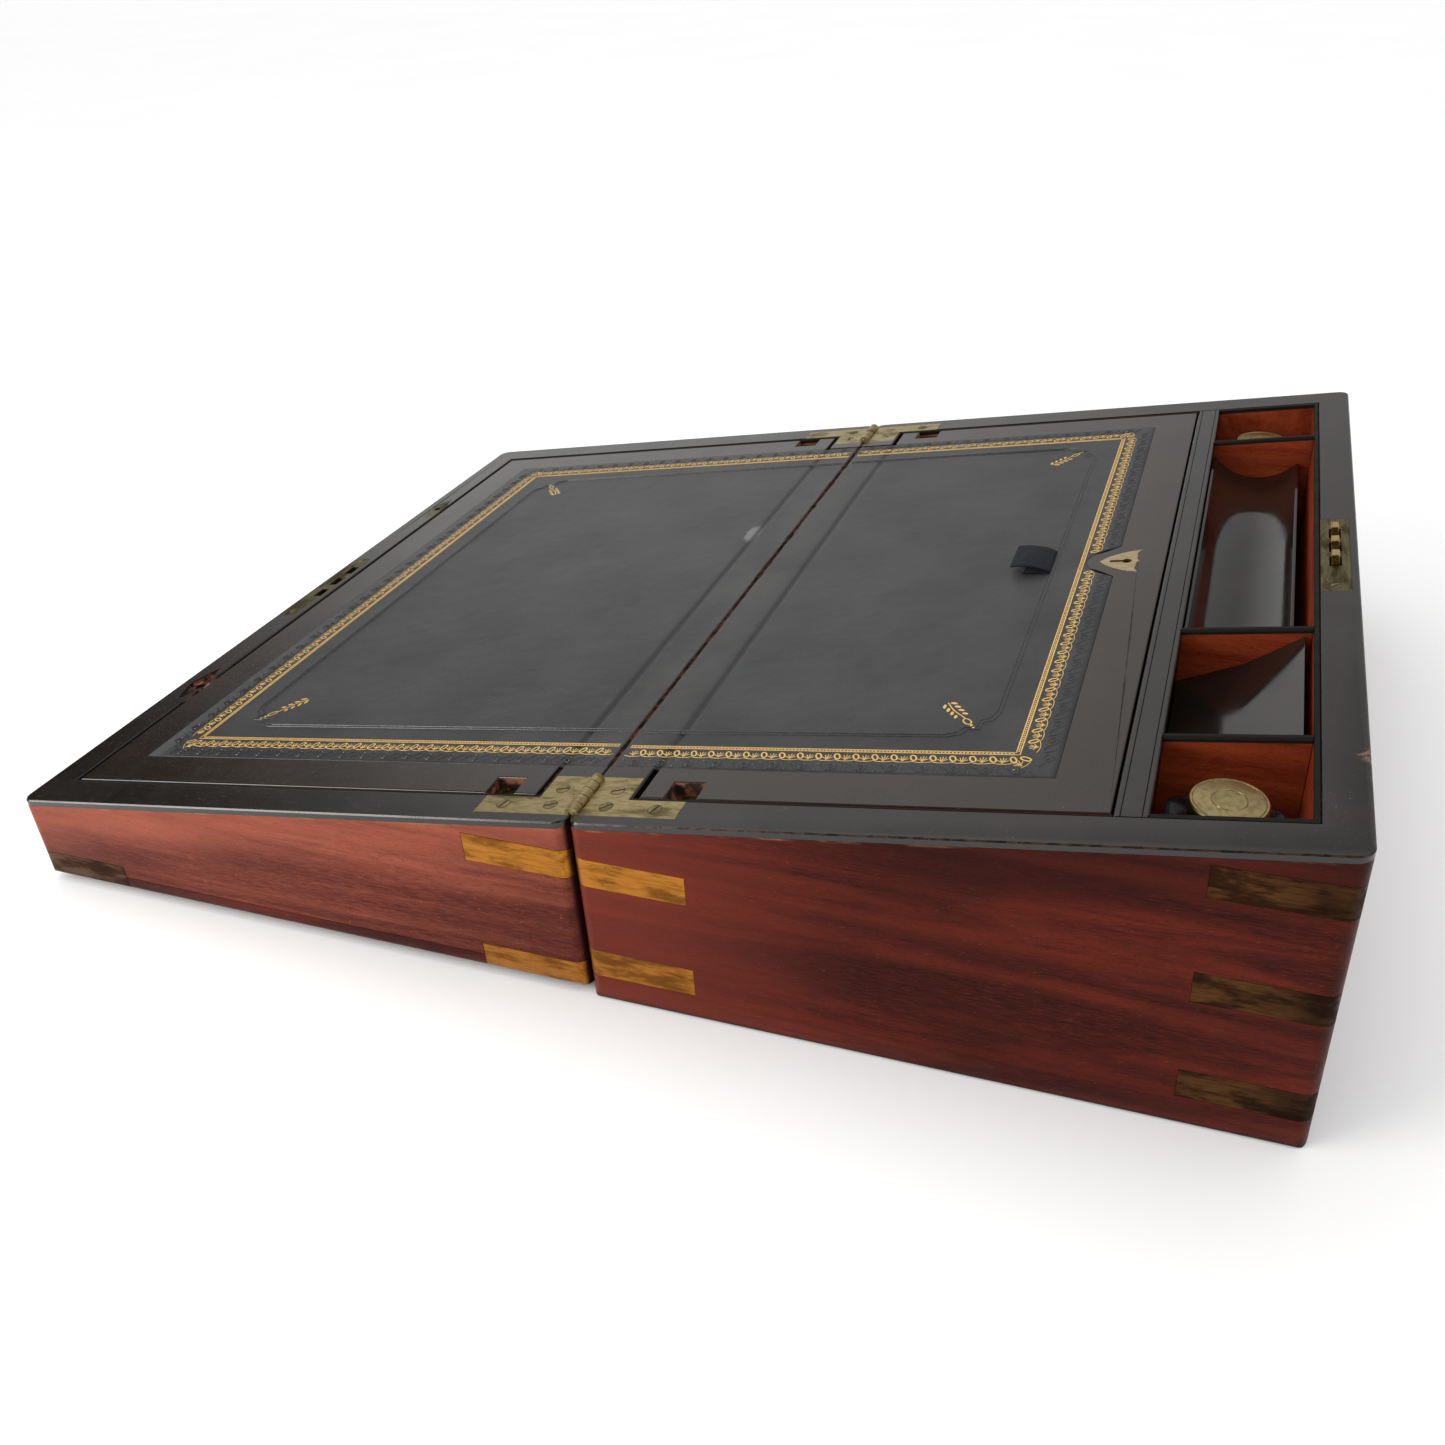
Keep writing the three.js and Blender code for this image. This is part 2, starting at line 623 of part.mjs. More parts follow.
// A lozenge plate with a round socket, and the bare recess whose plate is lost.
function lozenge(y, grow) {
  const shape = new THREE.Shape();
  const long = SOCKET.long + grow;
  const short = SOCKET.short + grow;
  const waist = short * 0.7;
  shape.moveTo(SOCKET_S, y - long);
  shape.quadraticCurveTo(SOCKET_S + waist, y - short, SOCKET_S + short, y);
  shape.quadraticCurveTo(SOCKET_S + waist, y + short, SOCKET_S, y + long);
  shape.quadraticCurveTo(SOCKET_S - waist, y + short, SOCKET_S - short, y);
  shape.quadraticCurveTo(SOCKET_S - waist, y - short, SOCKET_S, y - long);
  return shape;
}

function socketPlate() {
  const plate = sheet(lozenge(SOCKET_Y, 0), -FACE_GAP, LEAF_THICKNESS, 6);
  return cut(plate, cylinderUp(SOCKET.radius, SOCKET_S, SOCKET_Y, -SOCKET.depth, 1, 20));
}

function socketCutters() {
  const depth = LEAF_THICKNESS + FACE_GAP + JOINT_GAP;
  return [SOCKET_Y, -SOCKET_Y].flatMap((y) => [
    onSlope(sheet(lozenge(y, JOINT_GAP), 1, 1 + depth, 6)),
    onSlope(cylinderUp(SOCKET.radius + JOINT_GAP, SOCKET_S, y, -SOCKET.depth, 1, 20)),
  ]);
}

// ---- fittings of the pen compartments ----
function crossRail() {
  const at = (x, n) => [x, slopeZ(x, n)];
  const top = FITTING_TOP;
  const setBack = RAIL_START + RAIL_UNDERCUT * Math.sin(TILT);
  const foot = WELL_FLOOR_TOP + JOINT_GAP;
  const profile = [
    at(setBack, -RAIL_UNDERCUT),
    [setBack, foot],
    [WELL_START, foot],
    at(WELL_START, top - ARRIS),
    at(WELL_START - ARRIS, top),
    at(WELL_START - RAIL_BEAD, top),
    at(WELL_START - RAIL_BEAD - RAIL_GROOVE / 2, top - ARRIS),
    at(WELL_START - RAIL_BEAD - RAIL_GROOVE, top),
    at(RAIL_START + RAIL_BEAD + RAIL_GROOVE, top),
    at(RAIL_START + RAIL_BEAD + RAIL_GROOVE / 2, top - ARRIS),
    at(RAIL_START + RAIL_BEAD, top),
    at(RAIL_START + ARRIS, top),
    at(RAIL_START, top - ARRIS),
  ];
  const rail = alongY(profile, -INNER_HALF, INNER_HALF);
  const half = FLAP_BOLT.y + 1;
  const play = 2 * FIT_GAP;
  const keeper = sheet(
    rectangle([RAIL_START - RAIL_UNDERCUT, FLAP_BOLT.end + RAIL_UNDERCUT], [-half, half]),
    FLAP_BOLT.top + play,
    FLAP_BOLT.thickness + 2 * play,
  );
  return cut(rail, rimSpace(1), onSlope(keeper));
}

function divider(y) {
  const y0 = y - DIVIDER / 2;
  const y1 = y + DIVIDER / 2;
  const shoulder = FITTING_TOP - DIVIDER_EASE;
  const profile = [
    [y0, -FAR_AWAY],
    [y1, -FAR_AWAY],
    [y1, shoulder],
    [y1 - DIVIDER_EASE, FITTING_TOP],
    [y0 + DIVIDER_EASE, FITTING_TOP],
    [y0, shoulder],
  ];
  const length = onSlope(alongX(profile, 0, FAR_AWAY));
  const room = block(
    [WELL_START + JOINT_GAP, WELL_END - JOINT_GAP],
    [-HALF, HALF],
    [WELL_FLOOR_TOP + JOINT_GAP, FAR_AWAY],
  );
  return common(length, room);
}

function wellLining() {
  const x0 = WELL_START + JOINT_GAP;
  const x1 = DEPTH - END_BOARD - JOINT_GAP;
  const outer = block([x0, x1], [-INNER_HALF, INNER_HALF], [WELL_FLOOR_TOP + JOINT_GAP, FAR_AWAY]);
  const y = HALF - WELL_MARGIN;
  const inner = block([0, WELL_END], [-y, y], [0, FAR_AWAY]);
  return cut(common(outer, below(FITTING_TOP)), inner, rimSpace(1));
}

const WELL_CENTRE_X = (WELL_START + WELL_END) / 2;
const NEAR_INKWELL_Y = (WELL_MARGIN - HALF + DIVIDER_CENTRES[0] - DIVIDER / 2) / 2;
const FAR_INKWELL_Y = (DIVIDER_CENTRES[2] + DIVIDER / 2 + HALF - WELL_MARGIN) / 2;

function inkBottle(y) {
  const floor = WELL_FLOOR_TOP + JOINT_GAP;
  const half = BOTTLE_SIZE / 2;
  const sides = (inset) => roundedRectangle(
    [WELL_CENTRE_X - half + inset, WELL_CENTRE_X + half - inset],
    [y - half + inset, y + half - inset],
    BOTTLE_CORNER,
  );
  const shoulder = floor + BOTTLE_SHOULDER;
  const glass = easedSheet(sides(0), shoulder, BOTTLE_SHOULDER, BOTTLE_EASE);
  const mouth = CAP_TOP - CAP_THICKNESS - 1;
  const neck = cylinderUp(NECK_RADIUS, WELL_CENTRE_X, y, shoulder - 1, mouth, 48);
  const bottom = floor + BOTTLE_WALL;
  const inside = extrude(sides(BOTTLE_WALL), BOTTLE_SHOULDER - 2 * BOTTLE_WALL).translate(0, 0, bottom);
  const throat = cylinderUp(NECK_RADIUS - NECK_WALL, WELL_CENTRE_X, y, bottom + 1, mouth + 1);
  return cut(join(glass, neck), join(inside, throat));
}

// The cap is a short turned cup with a narrow step round its top and a fine ring inside that.
function inkCap(y) {
  const skirt = WELL_FLOOR_TOP + JOINT_GAP + BOTTLE_SHOULDER + FIT_GAP - CAP_TOP;
  const bore = NECK_RADIUS + 0.15;
  const profile = [
    [0, -CAP_THICKNESS],
    [bore, -CAP_THICKNESS],
    [bore, skirt],
    [CAP_RADIUS - 0.4, skirt],
    [CAP_RADIUS, skirt + 0.4],
    [CAP_RADIUS, -0.6],
    [CAP_RADIUS - 0.5, 0],
    [CAP_RADIUS - 1.1, 0],
    [CAP_RADIUS - 1.3, -0.3],
    [CAP_RADIUS - 1.5, -0.05],
    [5.7, 0.1],
    [5.5, -0.2],
    [5.3, 0.1],
    [0, 0.15],
  ].map(([r, z]) => new THREE.Vector2(r, z));
  const turned = new THREE.LatheGeometry(profile, 64).rotateX(Math.PI / 2);
  return turned.translate(WELL_CENTRE_X, y, CAP_TOP);
}

// A trough that stands level on two feet, with a finger gap on the box-lock side.
function penTray() {
  const x0 = WELL_START + FITTING_GAP;
  const x1 = x0 + TRAY_WIDTH;
  const y0 = DIVIDER_CENTRES[1] + DIVIDER / 2 + FITTING_GAP;
  const y1 = DIVIDER_CENTRES[2] - DIVIDER / 2 - FITTING_GAP;
  const halfChord = TRAY_WIDTH / 2 - TRAY_LIP;
  const radius = (halfChord ** 2 + TROUGH_DEPTH ** 2) / (2 * TROUGH_DEPTH);
  const body = block([x0, x1], [y0, y1], [TRAY_UNDERSIDE, TRAY_TOP]);
  const trough = cylinderAlongY(radius, y0 - 5, y1 + 5, 96);
  trough.translate((x0 + x1) / 2, 0, TRAY_TOP - TROUGH_DEPTH + radius);
  const foot = [WELL_FLOOR_TOP + JOINT_GAP, TRAY_UNDERSIDE + 2];
  const feet = [[y0, y0 + TRAY_FOOT], [y1 - TRAY_FOOT, y1]].map((y) => block([x0, x1], y, foot));
  return cut(join(body, ...feet), trough);
}

// A cover over the nib compartment in two slopes, open on the box-lock side.
function nibRamp() {
  const y0 = DIVIDER_CENTRES[0] + DIVIDER / 2 + FITTING_GAP;
  const y1 = DIVIDER_CENTRES[1] - DIVIDER / 2 - FITTING_GAP;
  const floor = WELL_FLOOR_TOP + JOINT_GAP;
  const start = WELL_START + FITTING_GAP;
  const [foldX, foldZ] = RAMP_FOLD;
  const [end, top] = RAMP_HIGH;
  const profile = [
    [start, floor],
    [start + RAMP_BOARD, floor],
    [start + RAMP_BOARD, RAMP_LOW - RAMP_BOARD / 2],
    [foldX + RAMP_BOARD / 4, foldZ - RAMP_BOARD],
    [end - RAMP_BOARD, top - 2 * RAMP_BOARD],
    [end - RAMP_BOARD, floor],
    [end, floor],
    [end, top],
    [foldX, foldZ],
    [start, RAMP_LOW],
  ];
  return alongY(profile, y0, y1);
}

// ---- assembly ----
const writingSlope = new THREE.Group();
const base = new THREE.Group();
const lid = new THREE.Group();
writingSlope.add(base, lid);

function slopingGroup(parent) {
  const group = new THREE.Group();
  group.rotation.y = -TILT;
  group.position.z = HINGE_HEIGHT;
  parent.add(group);
  return group;
}
const baseSlope = slopingGroup(base);
const lidSlope = slopingGroup(lid);

function add(parent, name, geometry, [color, roughness, metalness]) {
  const mesh = new THREE.Mesh(geometry, finish(color, roughness, metalness));
  mesh.name = name;
  parent.add(mesh);
}

const baseEnvelope = halfEnvelope(1, 0);
const lidEnvelope = halfEnvelope(-1, LID_UNDERSIDE);

function strapHeight(name) {
  return name.startsWith('lid') && !name.endsWith('_2') ? STRAP_WIDTH - 0.5 : STRAP_WIDTH;
}

function addStraps(parent, way, envelope) {
  for (const [name, x, y, z] of strapPlaces(way)) {
    add(parent, name, common(envelope, cornerSpace(way, x, y, z, strapHeight(name))), BRASS);
  }
}

function strapRecesses(way) {
  const recess = ([name, x, y, z]) => cornerSpace(way, x, y, z, strapHeight(name), JOINT_GAP);
  return strapPlaces(way).map(recess);
}

function board(envelope, region, recesses, ...tools) {
  const under = common(envelope, region, below(RIM_UNDERSIDE - JOINT_GAP));
  return cut(under, ...recesses, ...tools);
}

const nearSide = [-HALF, -HALF + SIDE_BOARD];
const farSide = [HALF - SIDE_BOARD, HALF];
const betweenSides = [-INNER_HALF, INNER_HALF];
const ENDLESS = [-FAR_AWAY, FAR_AWAY];

function buildBase() {
  const recesses = strapRecesses(1);
  const hinges = hingeRecesses(1);
  const lockSpace = onSlope(boxLock(JOINT_GAP));
  const pastRail = block([RAIL_START + 1.2, FAR_AWAY], ENDLESS, ENDLESS);
  const sideWith = (y, hand) => {
    const plain = board(baseEnvelope, block([0, FAR_AWAY], y, ENDLESS), recesses, ...hinges);
    const bearer = cut(sideBearer(1, hand, BASE_BEARER_END), pastRail, ...hinges);
    return join(plain, bearer);
  };
  add(base, 'base_near_side', sideWith(nearSide, -1), MAHOGANY);
  add(base, 'base_far_side', sideWith(farSide, 1), MAHOGANY);
  const front = block([DEPTH - END_BOARD, FAR_AWAY], betweenSides, ENDLESS);
  const frontBoard = board(baseEnvelope, front, recesses, lockSpace, boxKeyhole());
  add(base, 'base_front_board', frontBoard, MAHOGANY);
  const back = block([0, SIDE_BOARD], betweenSides, ENDLESS);
  add(base, 'base_back_board', board(baseEnvelope, back, recesses, ...hinges), MAHOGANY);
  const inside = [SIDE_BOARD + JOINT_GAP, DEPTH - END_BOARD - JOINT_GAP];
  add(base, 'base_bottom', block(inside, betweenSides, [0, BOTTOM_BOARD]), MAHOGANY);
  add(base, 'base_rim', rim(1, baseEnvelope, lockSpace), EBONY);
  add(base, 'cross_rail', crossRail(), EBONY);
  const floor = [WELL_FLOOR_TOP - WELL_FLOOR_THICKNESS, WELL_FLOOR_TOP];
  add(base, 'well_floor', block([RAIL_START, inside[1]], betweenSides, floor), WELL_WOOD);
  add(base, 'well_lining', wellLining(), WELL_WOOD);
  ['divider_near', 'divider_middle', 'divider_far'].forEach((name, i) => {
    add(base, name, divider(DIVIDER_CENTRES[i]), WELL_WOOD);
  });
  addStraps(base, 1, baseEnvelope);
  add(base, 'pen_tray', penTray(), EBONY);
  add(base, 'nib_ramp', nibRamp(), EBONY);
  [['near', NEAR_INKWELL_Y], ['far', FAR_INKWELL_Y]].forEach(([side, y]) => {
    add(base, `ink_bottle_${side}`, inkBottle(y), GLASS);
    add(base, `ink_cap_${side}`, inkCap(y), PALE_BRASS);
  });
}

function buildBaseSlope() {
  [['near', -1], ['far', 1]].forEach(([side, hand]) => {
    add(baseSlope, `hinge_${side}_base_leaf`, hingeLeaf(1, hand), BRASS);
    add(baseSlope, `hinge_${side}_pin`, hingePin(hand), BRASS);
  });
  add(baseSlope, 'box_lock', hollowBoxLock(), PALE_BRASS);
  add(baseSlope, 'box_lock_bolt', boxLockBolt(), PALE_BRASS);
  add(baseSlope, 'base_leather_strip', leather(1, [BUTT_GAP + FIT_GAP, RIM_HINGE]), LEATHER);
  const shieldDepth = ESCUTCHEON_THICKNESS + 1 - FLAP_TOP + JOINT_GAP;
  const shield = sheet(escutcheonOutline(JOINT_GAP), 1, shieldDepth, 6);
  const key = keyhole(1, FLAP_THICKNESS + 3, FIT_GAP);
  add(baseSlope, 'base_flap', flap(1, BASE_FLAP_END, BASE_LEATHER_END, true, shield, key), EBONY);
  add(baseSlope, 'base_flap_leather', leather(1, [FLAP_START, BASE_LEATHER_END], true), LEATHER);
  const shieldPlate = sheet(escutcheonOutline(), FLAP_TOP, ESCUTCHEON_THICKNESS, 6);
  add(baseSlope, 'flap_escutcheon', cut(shieldPlate, keyhole(1, 4)), PALE_BRASS);
  add(baseSlope, 'flap_lock', flapLock(), STEEL);
  add(baseSlope, 'flap_lock_bolt', flapLockBolt(), BRASS);
  const { s: tabS, half: tabHalf, top: tabTop } = RIBBON_TAB;
  const tab = block(tabS, [-tabHalf, tabHalf], [LEATHER_TOP + 0.05, tabTop]);
  add(baseSlope, 'pull_tab', tab, RIBBON);
}

function buildLid() {
  const recesses = strapRecesses(-1);
  const hinges = hingeRecesses(-1);
  const panelTop = LID_UNDERSIDE + BOTTOM_BOARD;
  const above = [panelTop + JOINT_GAP, FAR_AWAY];
  const strike = onSlope(strikePlate(JOINT_GAP));
  const hookPocket = onSlope(block(
    [-HOOK_S - 3, -HOOK_S + 3],
    [HOOKS[0] - 1, HOOKS[2] + SLOT_LENGTH + 2],
    [-HOOK_RISE - 3, 1],
  ));
  const sockets = socketCutters();
  const panelSpace = block([-FAR_AWAY, 0], ENDLESS, [-FAR_AWAY, above[0]]);
  const sideWith = (y, hand) => {
    const plain = board(lidEnvelope, block([-FAR_AWAY, 0], y, above), recesses, ...hinges);
    const bearer = cut(sideBearer(-1, hand, LID_BEARER_END), ...hinges, panelSpace);
    return join(plain, bearer);
  };
  add(lid, 'lid_near_side', sideWith(nearSide, -1), MAHOGANY);
  add(lid, 'lid_far_side', sideWith(farSide, 1), MAHOGANY);
  const end = block([-FAR_AWAY, -DEPTH + END_BOARD], betweenSides, above);
  add(lid, 'lid_end_board', board(lidEnvelope, end, recesses, strike, hookPocket, ...sockets), MAHOGANY);
  const back = block([-SIDE_BOARD, 0], betweenSides, above);
  add(lid, 'lid_back_board', board(lidEnvelope, back, recesses, ...hinges), MAHOGANY);
  const panel = common(lidEnvelope, block([-FAR_AWAY, 0], ENDLESS, [0, panelTop]));
  add(lid, 'lid_panel', cut(panel, ...recesses), MAHOGANY);
  add(lid, 'lid_rim', rim(-1, lidEnvelope, strike, hookPocket, ...sockets), EBONY);
  addStraps(lid, -1, lidEnvelope);
}

function buildLidSlope() {
  [['near', -1], ['far', 1]].forEach(([side, hand]) => {
    add(lidSlope, `hinge_${side}_lid_leaf`, hingeLeaf(-1, hand), BRASS);
  });
  add(lidSlope, 'strike_plate', cut(strikePlate(), ...lockSlots(-1, 2, 6)), PALE_BRASS);
  add(lidSlope, 'socket_plate', socketPlate(), BRASS);
  add(lidSlope, 'lid_leather_strip', leather(-1, [BUTT_GAP + FIT_GAP, RIM_HINGE]), LEATHER);
  add(lidSlope, 'lid_flap', flap(-1, LID_FLAP_END, LID_LEATHER_END, false), EBONY);
  add(lidSlope, 'lid_flap_leather', leather(-1, [FLAP_START, LID_LEATHER_END]), LEATHER);
}

buildBase();
buildBaseSlope();
buildLid();
buildLidSlope();

export default writingSlope;
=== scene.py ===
# A portable writing slope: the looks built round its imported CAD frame. Blender units are metres,
# and lengths named in millimetres are turned into metres by MM.
import json
import math
import random

import bpy
from mathutils import Matrix, Vector, noise


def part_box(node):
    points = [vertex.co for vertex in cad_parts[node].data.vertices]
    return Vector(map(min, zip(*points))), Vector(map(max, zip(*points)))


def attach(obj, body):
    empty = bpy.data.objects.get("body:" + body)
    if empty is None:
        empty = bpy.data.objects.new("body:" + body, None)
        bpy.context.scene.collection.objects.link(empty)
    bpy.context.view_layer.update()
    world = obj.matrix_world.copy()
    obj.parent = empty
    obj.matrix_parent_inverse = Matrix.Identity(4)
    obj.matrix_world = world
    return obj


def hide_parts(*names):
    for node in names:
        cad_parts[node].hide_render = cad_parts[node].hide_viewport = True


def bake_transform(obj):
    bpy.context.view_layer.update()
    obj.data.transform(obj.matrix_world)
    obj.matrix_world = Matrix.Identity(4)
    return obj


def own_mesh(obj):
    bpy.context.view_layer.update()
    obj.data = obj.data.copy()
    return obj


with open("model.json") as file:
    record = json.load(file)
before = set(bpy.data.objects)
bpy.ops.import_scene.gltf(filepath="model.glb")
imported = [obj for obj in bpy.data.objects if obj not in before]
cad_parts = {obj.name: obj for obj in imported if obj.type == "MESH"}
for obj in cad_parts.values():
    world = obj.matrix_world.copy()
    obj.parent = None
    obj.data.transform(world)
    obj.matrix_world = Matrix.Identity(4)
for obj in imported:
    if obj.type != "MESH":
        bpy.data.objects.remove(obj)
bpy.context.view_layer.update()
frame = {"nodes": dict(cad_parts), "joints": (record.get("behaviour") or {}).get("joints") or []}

MM = 0.001
NODES = frame["nodes"]
JOINTS = {joint["name"]: joint for joint in frame["joints"]}

# ---- slope coordinates (s, y, n) in millimetres, as in the CAD: s up the slope, n above it ----
HINGE = Vector(JOINTS["lid_hinge"]["pos_m"])
UP_SLOPE = Vector(JOINTS["flap_lock_bolt_slide"]["axis"]).normalized()
ACROSS = Vector((0, 1, 0))
NORMAL = UP_SLOPE.cross(ACROSS)


def point(s, y, n):
    return HINGE + (UP_SLOPE * s + ACROSS * y + NORMAL * n) * MM


def on_slope(node):
    """Lowest and highest (s, y, n) of a CAD node."""
    places = []
    for vertex in NODES[node].data.vertices:
        d = (vertex.co - HINGE) / MM
        places.append((d.dot(UP_SLOPE), d.y, d.dot(NORMAL)))
    return [Vector(map(pick, zip(*places))) for pick in (min, max)]


# ---- camera ----
CAMERA_PLACE = (0.1993, -0.5183, 0.3499)
CAMERA_YAW = math.radians(-18.905)
CAMERA_DOWN = math.radians(31.25)
CAMERA_ROLL = math.radians(-2.022)
CAMERA_LENS = 33.15
CAMERA_SHIFT = (-0.061, -0.020)


def make_camera():
    forward = Vector((
        math.sin(CAMERA_YAW) * math.cos(CAMERA_DOWN),
        math.cos(CAMERA_YAW) * math.cos(CAMERA_DOWN),
        -math.sin(CAMERA_DOWN),
    ))
    level = forward.cross(Vector((0, 0, 1))).normalized()
    upright = level.cross(forward)
    right = level * math.cos(CAMERA_ROLL) + upright * math.sin(CAMERA_ROLL)
    up = right.cross(forward)
    data = bpy.data.cameras.new("camera")
    data.lens = CAMERA_LENS
    data.sensor_width = 36
    data.shift_x, data.shift_y = CAMERA_SHIFT
    data.clip_start = 0.01
    camera = bpy.data.objects.new("camera", data)
    turn = Matrix((right, up, -forward)).transposed().to_4x4()
    camera.matrix_world = Matrix.Translation(CAMERA_PLACE) @ turn
    bpy.context.scene.collection.objects.link(camera)
    bpy.context.scene.camera = camera


# ---- material graphs ----
class Graph:
    """One procedural material. Its calls add nodes and return their output sockets."""

    def __init__(self, name, **surface):
        self.material = bpy.data.materials.new(name)
        self.material.use_nodes = True
        self.tree = self.material.node_tree
        self.shader = self.tree.nodes["Principled BSDF"]
        self.set(**surface)
        self.place = self.add("ShaderNodeTexCoord").outputs["Object"]

    def feed(self, socket, value):
        if isinstance(value, bpy.types.NodeSocket):
            self.tree.links.new(value, socket)
        elif hasattr(value, "__len__") and len(value) == 3 and socket.type == "RGBA":
            socket.default_value = (*value, 1)
        else:
            socket.default_value = value

    def set(self, **surface):
        for name, value in surface.items():
            self.feed(self.shader.inputs[name.replace("_", " ")], value)

    def add(self, kind, inputs=(), **settings):
        node = self.tree.nodes.new(kind)
        for name, value in settings.items():
            setattr(node, name, value)
        for name, value in dict(inputs).items():
            self.feed(node.inputs[name], value)
        return node

    def math(self, operation, a, b=0.0, clamp=False):
        node = self.add("ShaderNodeMath", {0: a, 1: b}, operation=operation, use_clamp=clamp)
        return node.outputs[0]

    def times(self, first, *others):
        for other in others:
            first = self.math("MULTIPLY", first, other)
        return first

    def mix(self, factor, a, b):
        node = self.add("ShaderNodeMix", data_type="RGBA")
        for socket, value in ((node.inputs[0], factor), (node.inputs[6], a), (node.inputs[7], b)):
            self.feed(socket, value)
        return node.outputs[2]

    def spread(self, value, low, high, to_low=0.0, to_high=1.0):
        """value from low to high becomes to_low to to_high, smoothly and clamped."""
        node = self.add(
            "ShaderNodeMapRange",
            {0: value, 1: low, 2: high, 3: to_low, 4: to_high},
            interpolation_type="SMOOTHSTEP",
        )
        return node.outputs[0]

    def scaled(self, scale, vector=None):
        source = self.place if vector is None else vector
        return self.add("ShaderNodeVectorMath", {0: source, 1: scale}, operation="MULTIPLY").outputs[0]

    def noise(self, size, stretch=(1, 1, 1), detail=4.0, roughness=0.55, twist=0.0, vector=None):
        """Noise whose features are about size millimetres, longer where stretch is above 1."""
        vector = self.scaled([1 / (size * MM * k) for k in stretch], vector)
        node = self.add(
            "ShaderNodeTexNoise",
            {"Vector": vector, "Scale": 1, "Detail": detail, "Roughness": roughness, "Distortion": twist},
        )
        return node.outputs["Fac"]

    def cells(self, size, feature="F1"):
        """Distance to the middles or edges of cells about size millimetres wide."""
        vector = self.scaled([1 / (size * MM)] * 3)
        node = self.add("ShaderNodeTexVoronoi", {"Vector": vector, "Scale": 1}, feature=feature)
        return node.outputs["Distance"]

    def along(self, direction, origin=(0, 0, 0)):
        """Distance in millimetres from origin along a direction."""
        offset = Vector(origin).dot(Vector(direction))
        dot = self.add("ShaderNodeVectorMath", {0: self.place, 1: direction}, operation="DOT_PRODUCT")
        return self.math("MULTIPLY", self.math("SUBTRACT", dot.outputs["Value"], offset), 1 / MM)

    def depth(self):
        """n, the height above the writing slope in millimetres."""
        return self.along(NORMAL, HINGE)

    def reach(self):
        """s, the distance up the slope from the hinge line in millimetres."""
        return self.along(UP_SLOPE, HINGE)

    def inside(self, value, low, high, soft):
        """1 where value is between low and high, with soft ends."""
        rise = self.spread(value, low - soft, low + soft)
        fall = self.spread(value, high - soft, high + soft, 1, 0)
        return self.math("MULTIPLY", rise, fall)

    def bump(self, height, distance, normal=None):
        """Relief whose height of 0 to 1 spans distance in millimetres."""
        inputs = {"Height": height, "Distance": distance * MM, "Strength": 1}
        node = self.add("ShaderNodeBump", inputs)
        if normal is not None:
            self.feed(node.inputs["Normal"], normal)
        return node.outputs[0]


def scratches(graph, size, length, threshold, angle):
    """Long thin marks, 1 on a mark and 0 elsewhere."""
    turned = graph.add("ShaderNodeMapping", {"Vector": graph.place, "Rotation": angle}).outputs[0]
    lines = graph.noise(size, (length, 1, 1), detail=2, vector=turned)
    return graph.spread(lines, threshold, threshold + 0.03)


# ---- wood ----
ALONG_X = (14, 1, 1)
ALONG_Y = (1, 14, 1)
WORLD_X, WORLD_Z = (1, 0, 0), (0, 0, 1)


def wood(
    name, dark, light, grain, gloss=0.34, edge=None, low=None, black=None, pale=None, clear=None,
):
    """Mahogany: figure, fibres, short pores and scratches.

    edge, low, black, pale and clear are functions of the graph: 1 on worn edges, where the wood is darker
    near the ground and in the hinge gap's painted shade, where the wood is blacked, where painted light
    makes it paler and where painted shade darkens it under the rim.
    """
    g = Graph(name, Specular_IOR_Level=0.08)
    figure = g.noise(16, grain, detail=3, twist=1.2)
    bands = g.noise(3.2, grain, detail=5, roughness=0.6, twist=0.5)
    fibres = g.noise(0.35, grain, detail=3)
    pores = g.spread(g.noise(0.3, [k * 0.55 if k > 1 else k for k in grain], detail=1), 0.62, 0.7)
    patches = g.noise(55, (1.4, 1, 1), detail=2)
    colour = g.mix(g.spread(figure, 0.32, 0.68), dark, light)
    colour = g.mix(g.times(g.spread(bands, 0.5, 0.72), 0.55), colour, [c * 0.42 for c in dark])
    colour = g.mix(g.times(g.spread(fibres, 0.35, 0.7), 0.3), colour, [min(1, c * 1.5) for c in light])
    colour = g.mix(g.times(g.spread(patches, 0.35, 0.65), 0.4), colour, [c * 0.6 for c in dark])
    colour = g.mix(g.times(pores, 0.5), colour, [c * 0.3 for c in dark])
    marks = scratches(g, 0.5, 30, 0.69, (0.1, 0.35, 0.2))
    colour = g.mix(g.times(marks, 0.3), colour, [min(1, c * 2.2 + 0.02) for c in light])
    # painted light: paler where the mask is 1, a painted highlight on the side
    if pale is not None:
        colour = g.mix(g.times(pale(g), 0.4), colour, [min(1, c * 2.0 + 0.012) for c in light])
    if edge is not None:
        worn = g.times(edge(g), g.spread(g.noise(5, (4, 1, 1)), 0.48, 0.66))
        colour = g.mix(worn, colour, (0.26, 0.12, 0.06))
    # darker near the ground, and painted shade in the hinge gap
    if low is not None:
        colour = g.mix(low(g), colour, [c * 0.3 for c in dark])
    if black is not None:
        colour = g.mix(black(g), colour, (0.009, 0.0075, 0.0065))
    rough = g.spread(g.noise(9), 0.2, 0.8, gloss - 0.07, gloss + 0.12)
    # painted shade: darker under the rim of the base side
    if clear is not None:
        colour = g.mix(g.times(clear(g), 0.6), colour, [c * 0.8 for c in dark])
    g.set(Base_Color=colour, Roughness=rough)
    relief = g.bump(fibres, 0.035)
    relief = g.bump(pores, -0.03, relief)
    g.set(Normal=g.bump(marks, -0.03, relief))
    return g.material


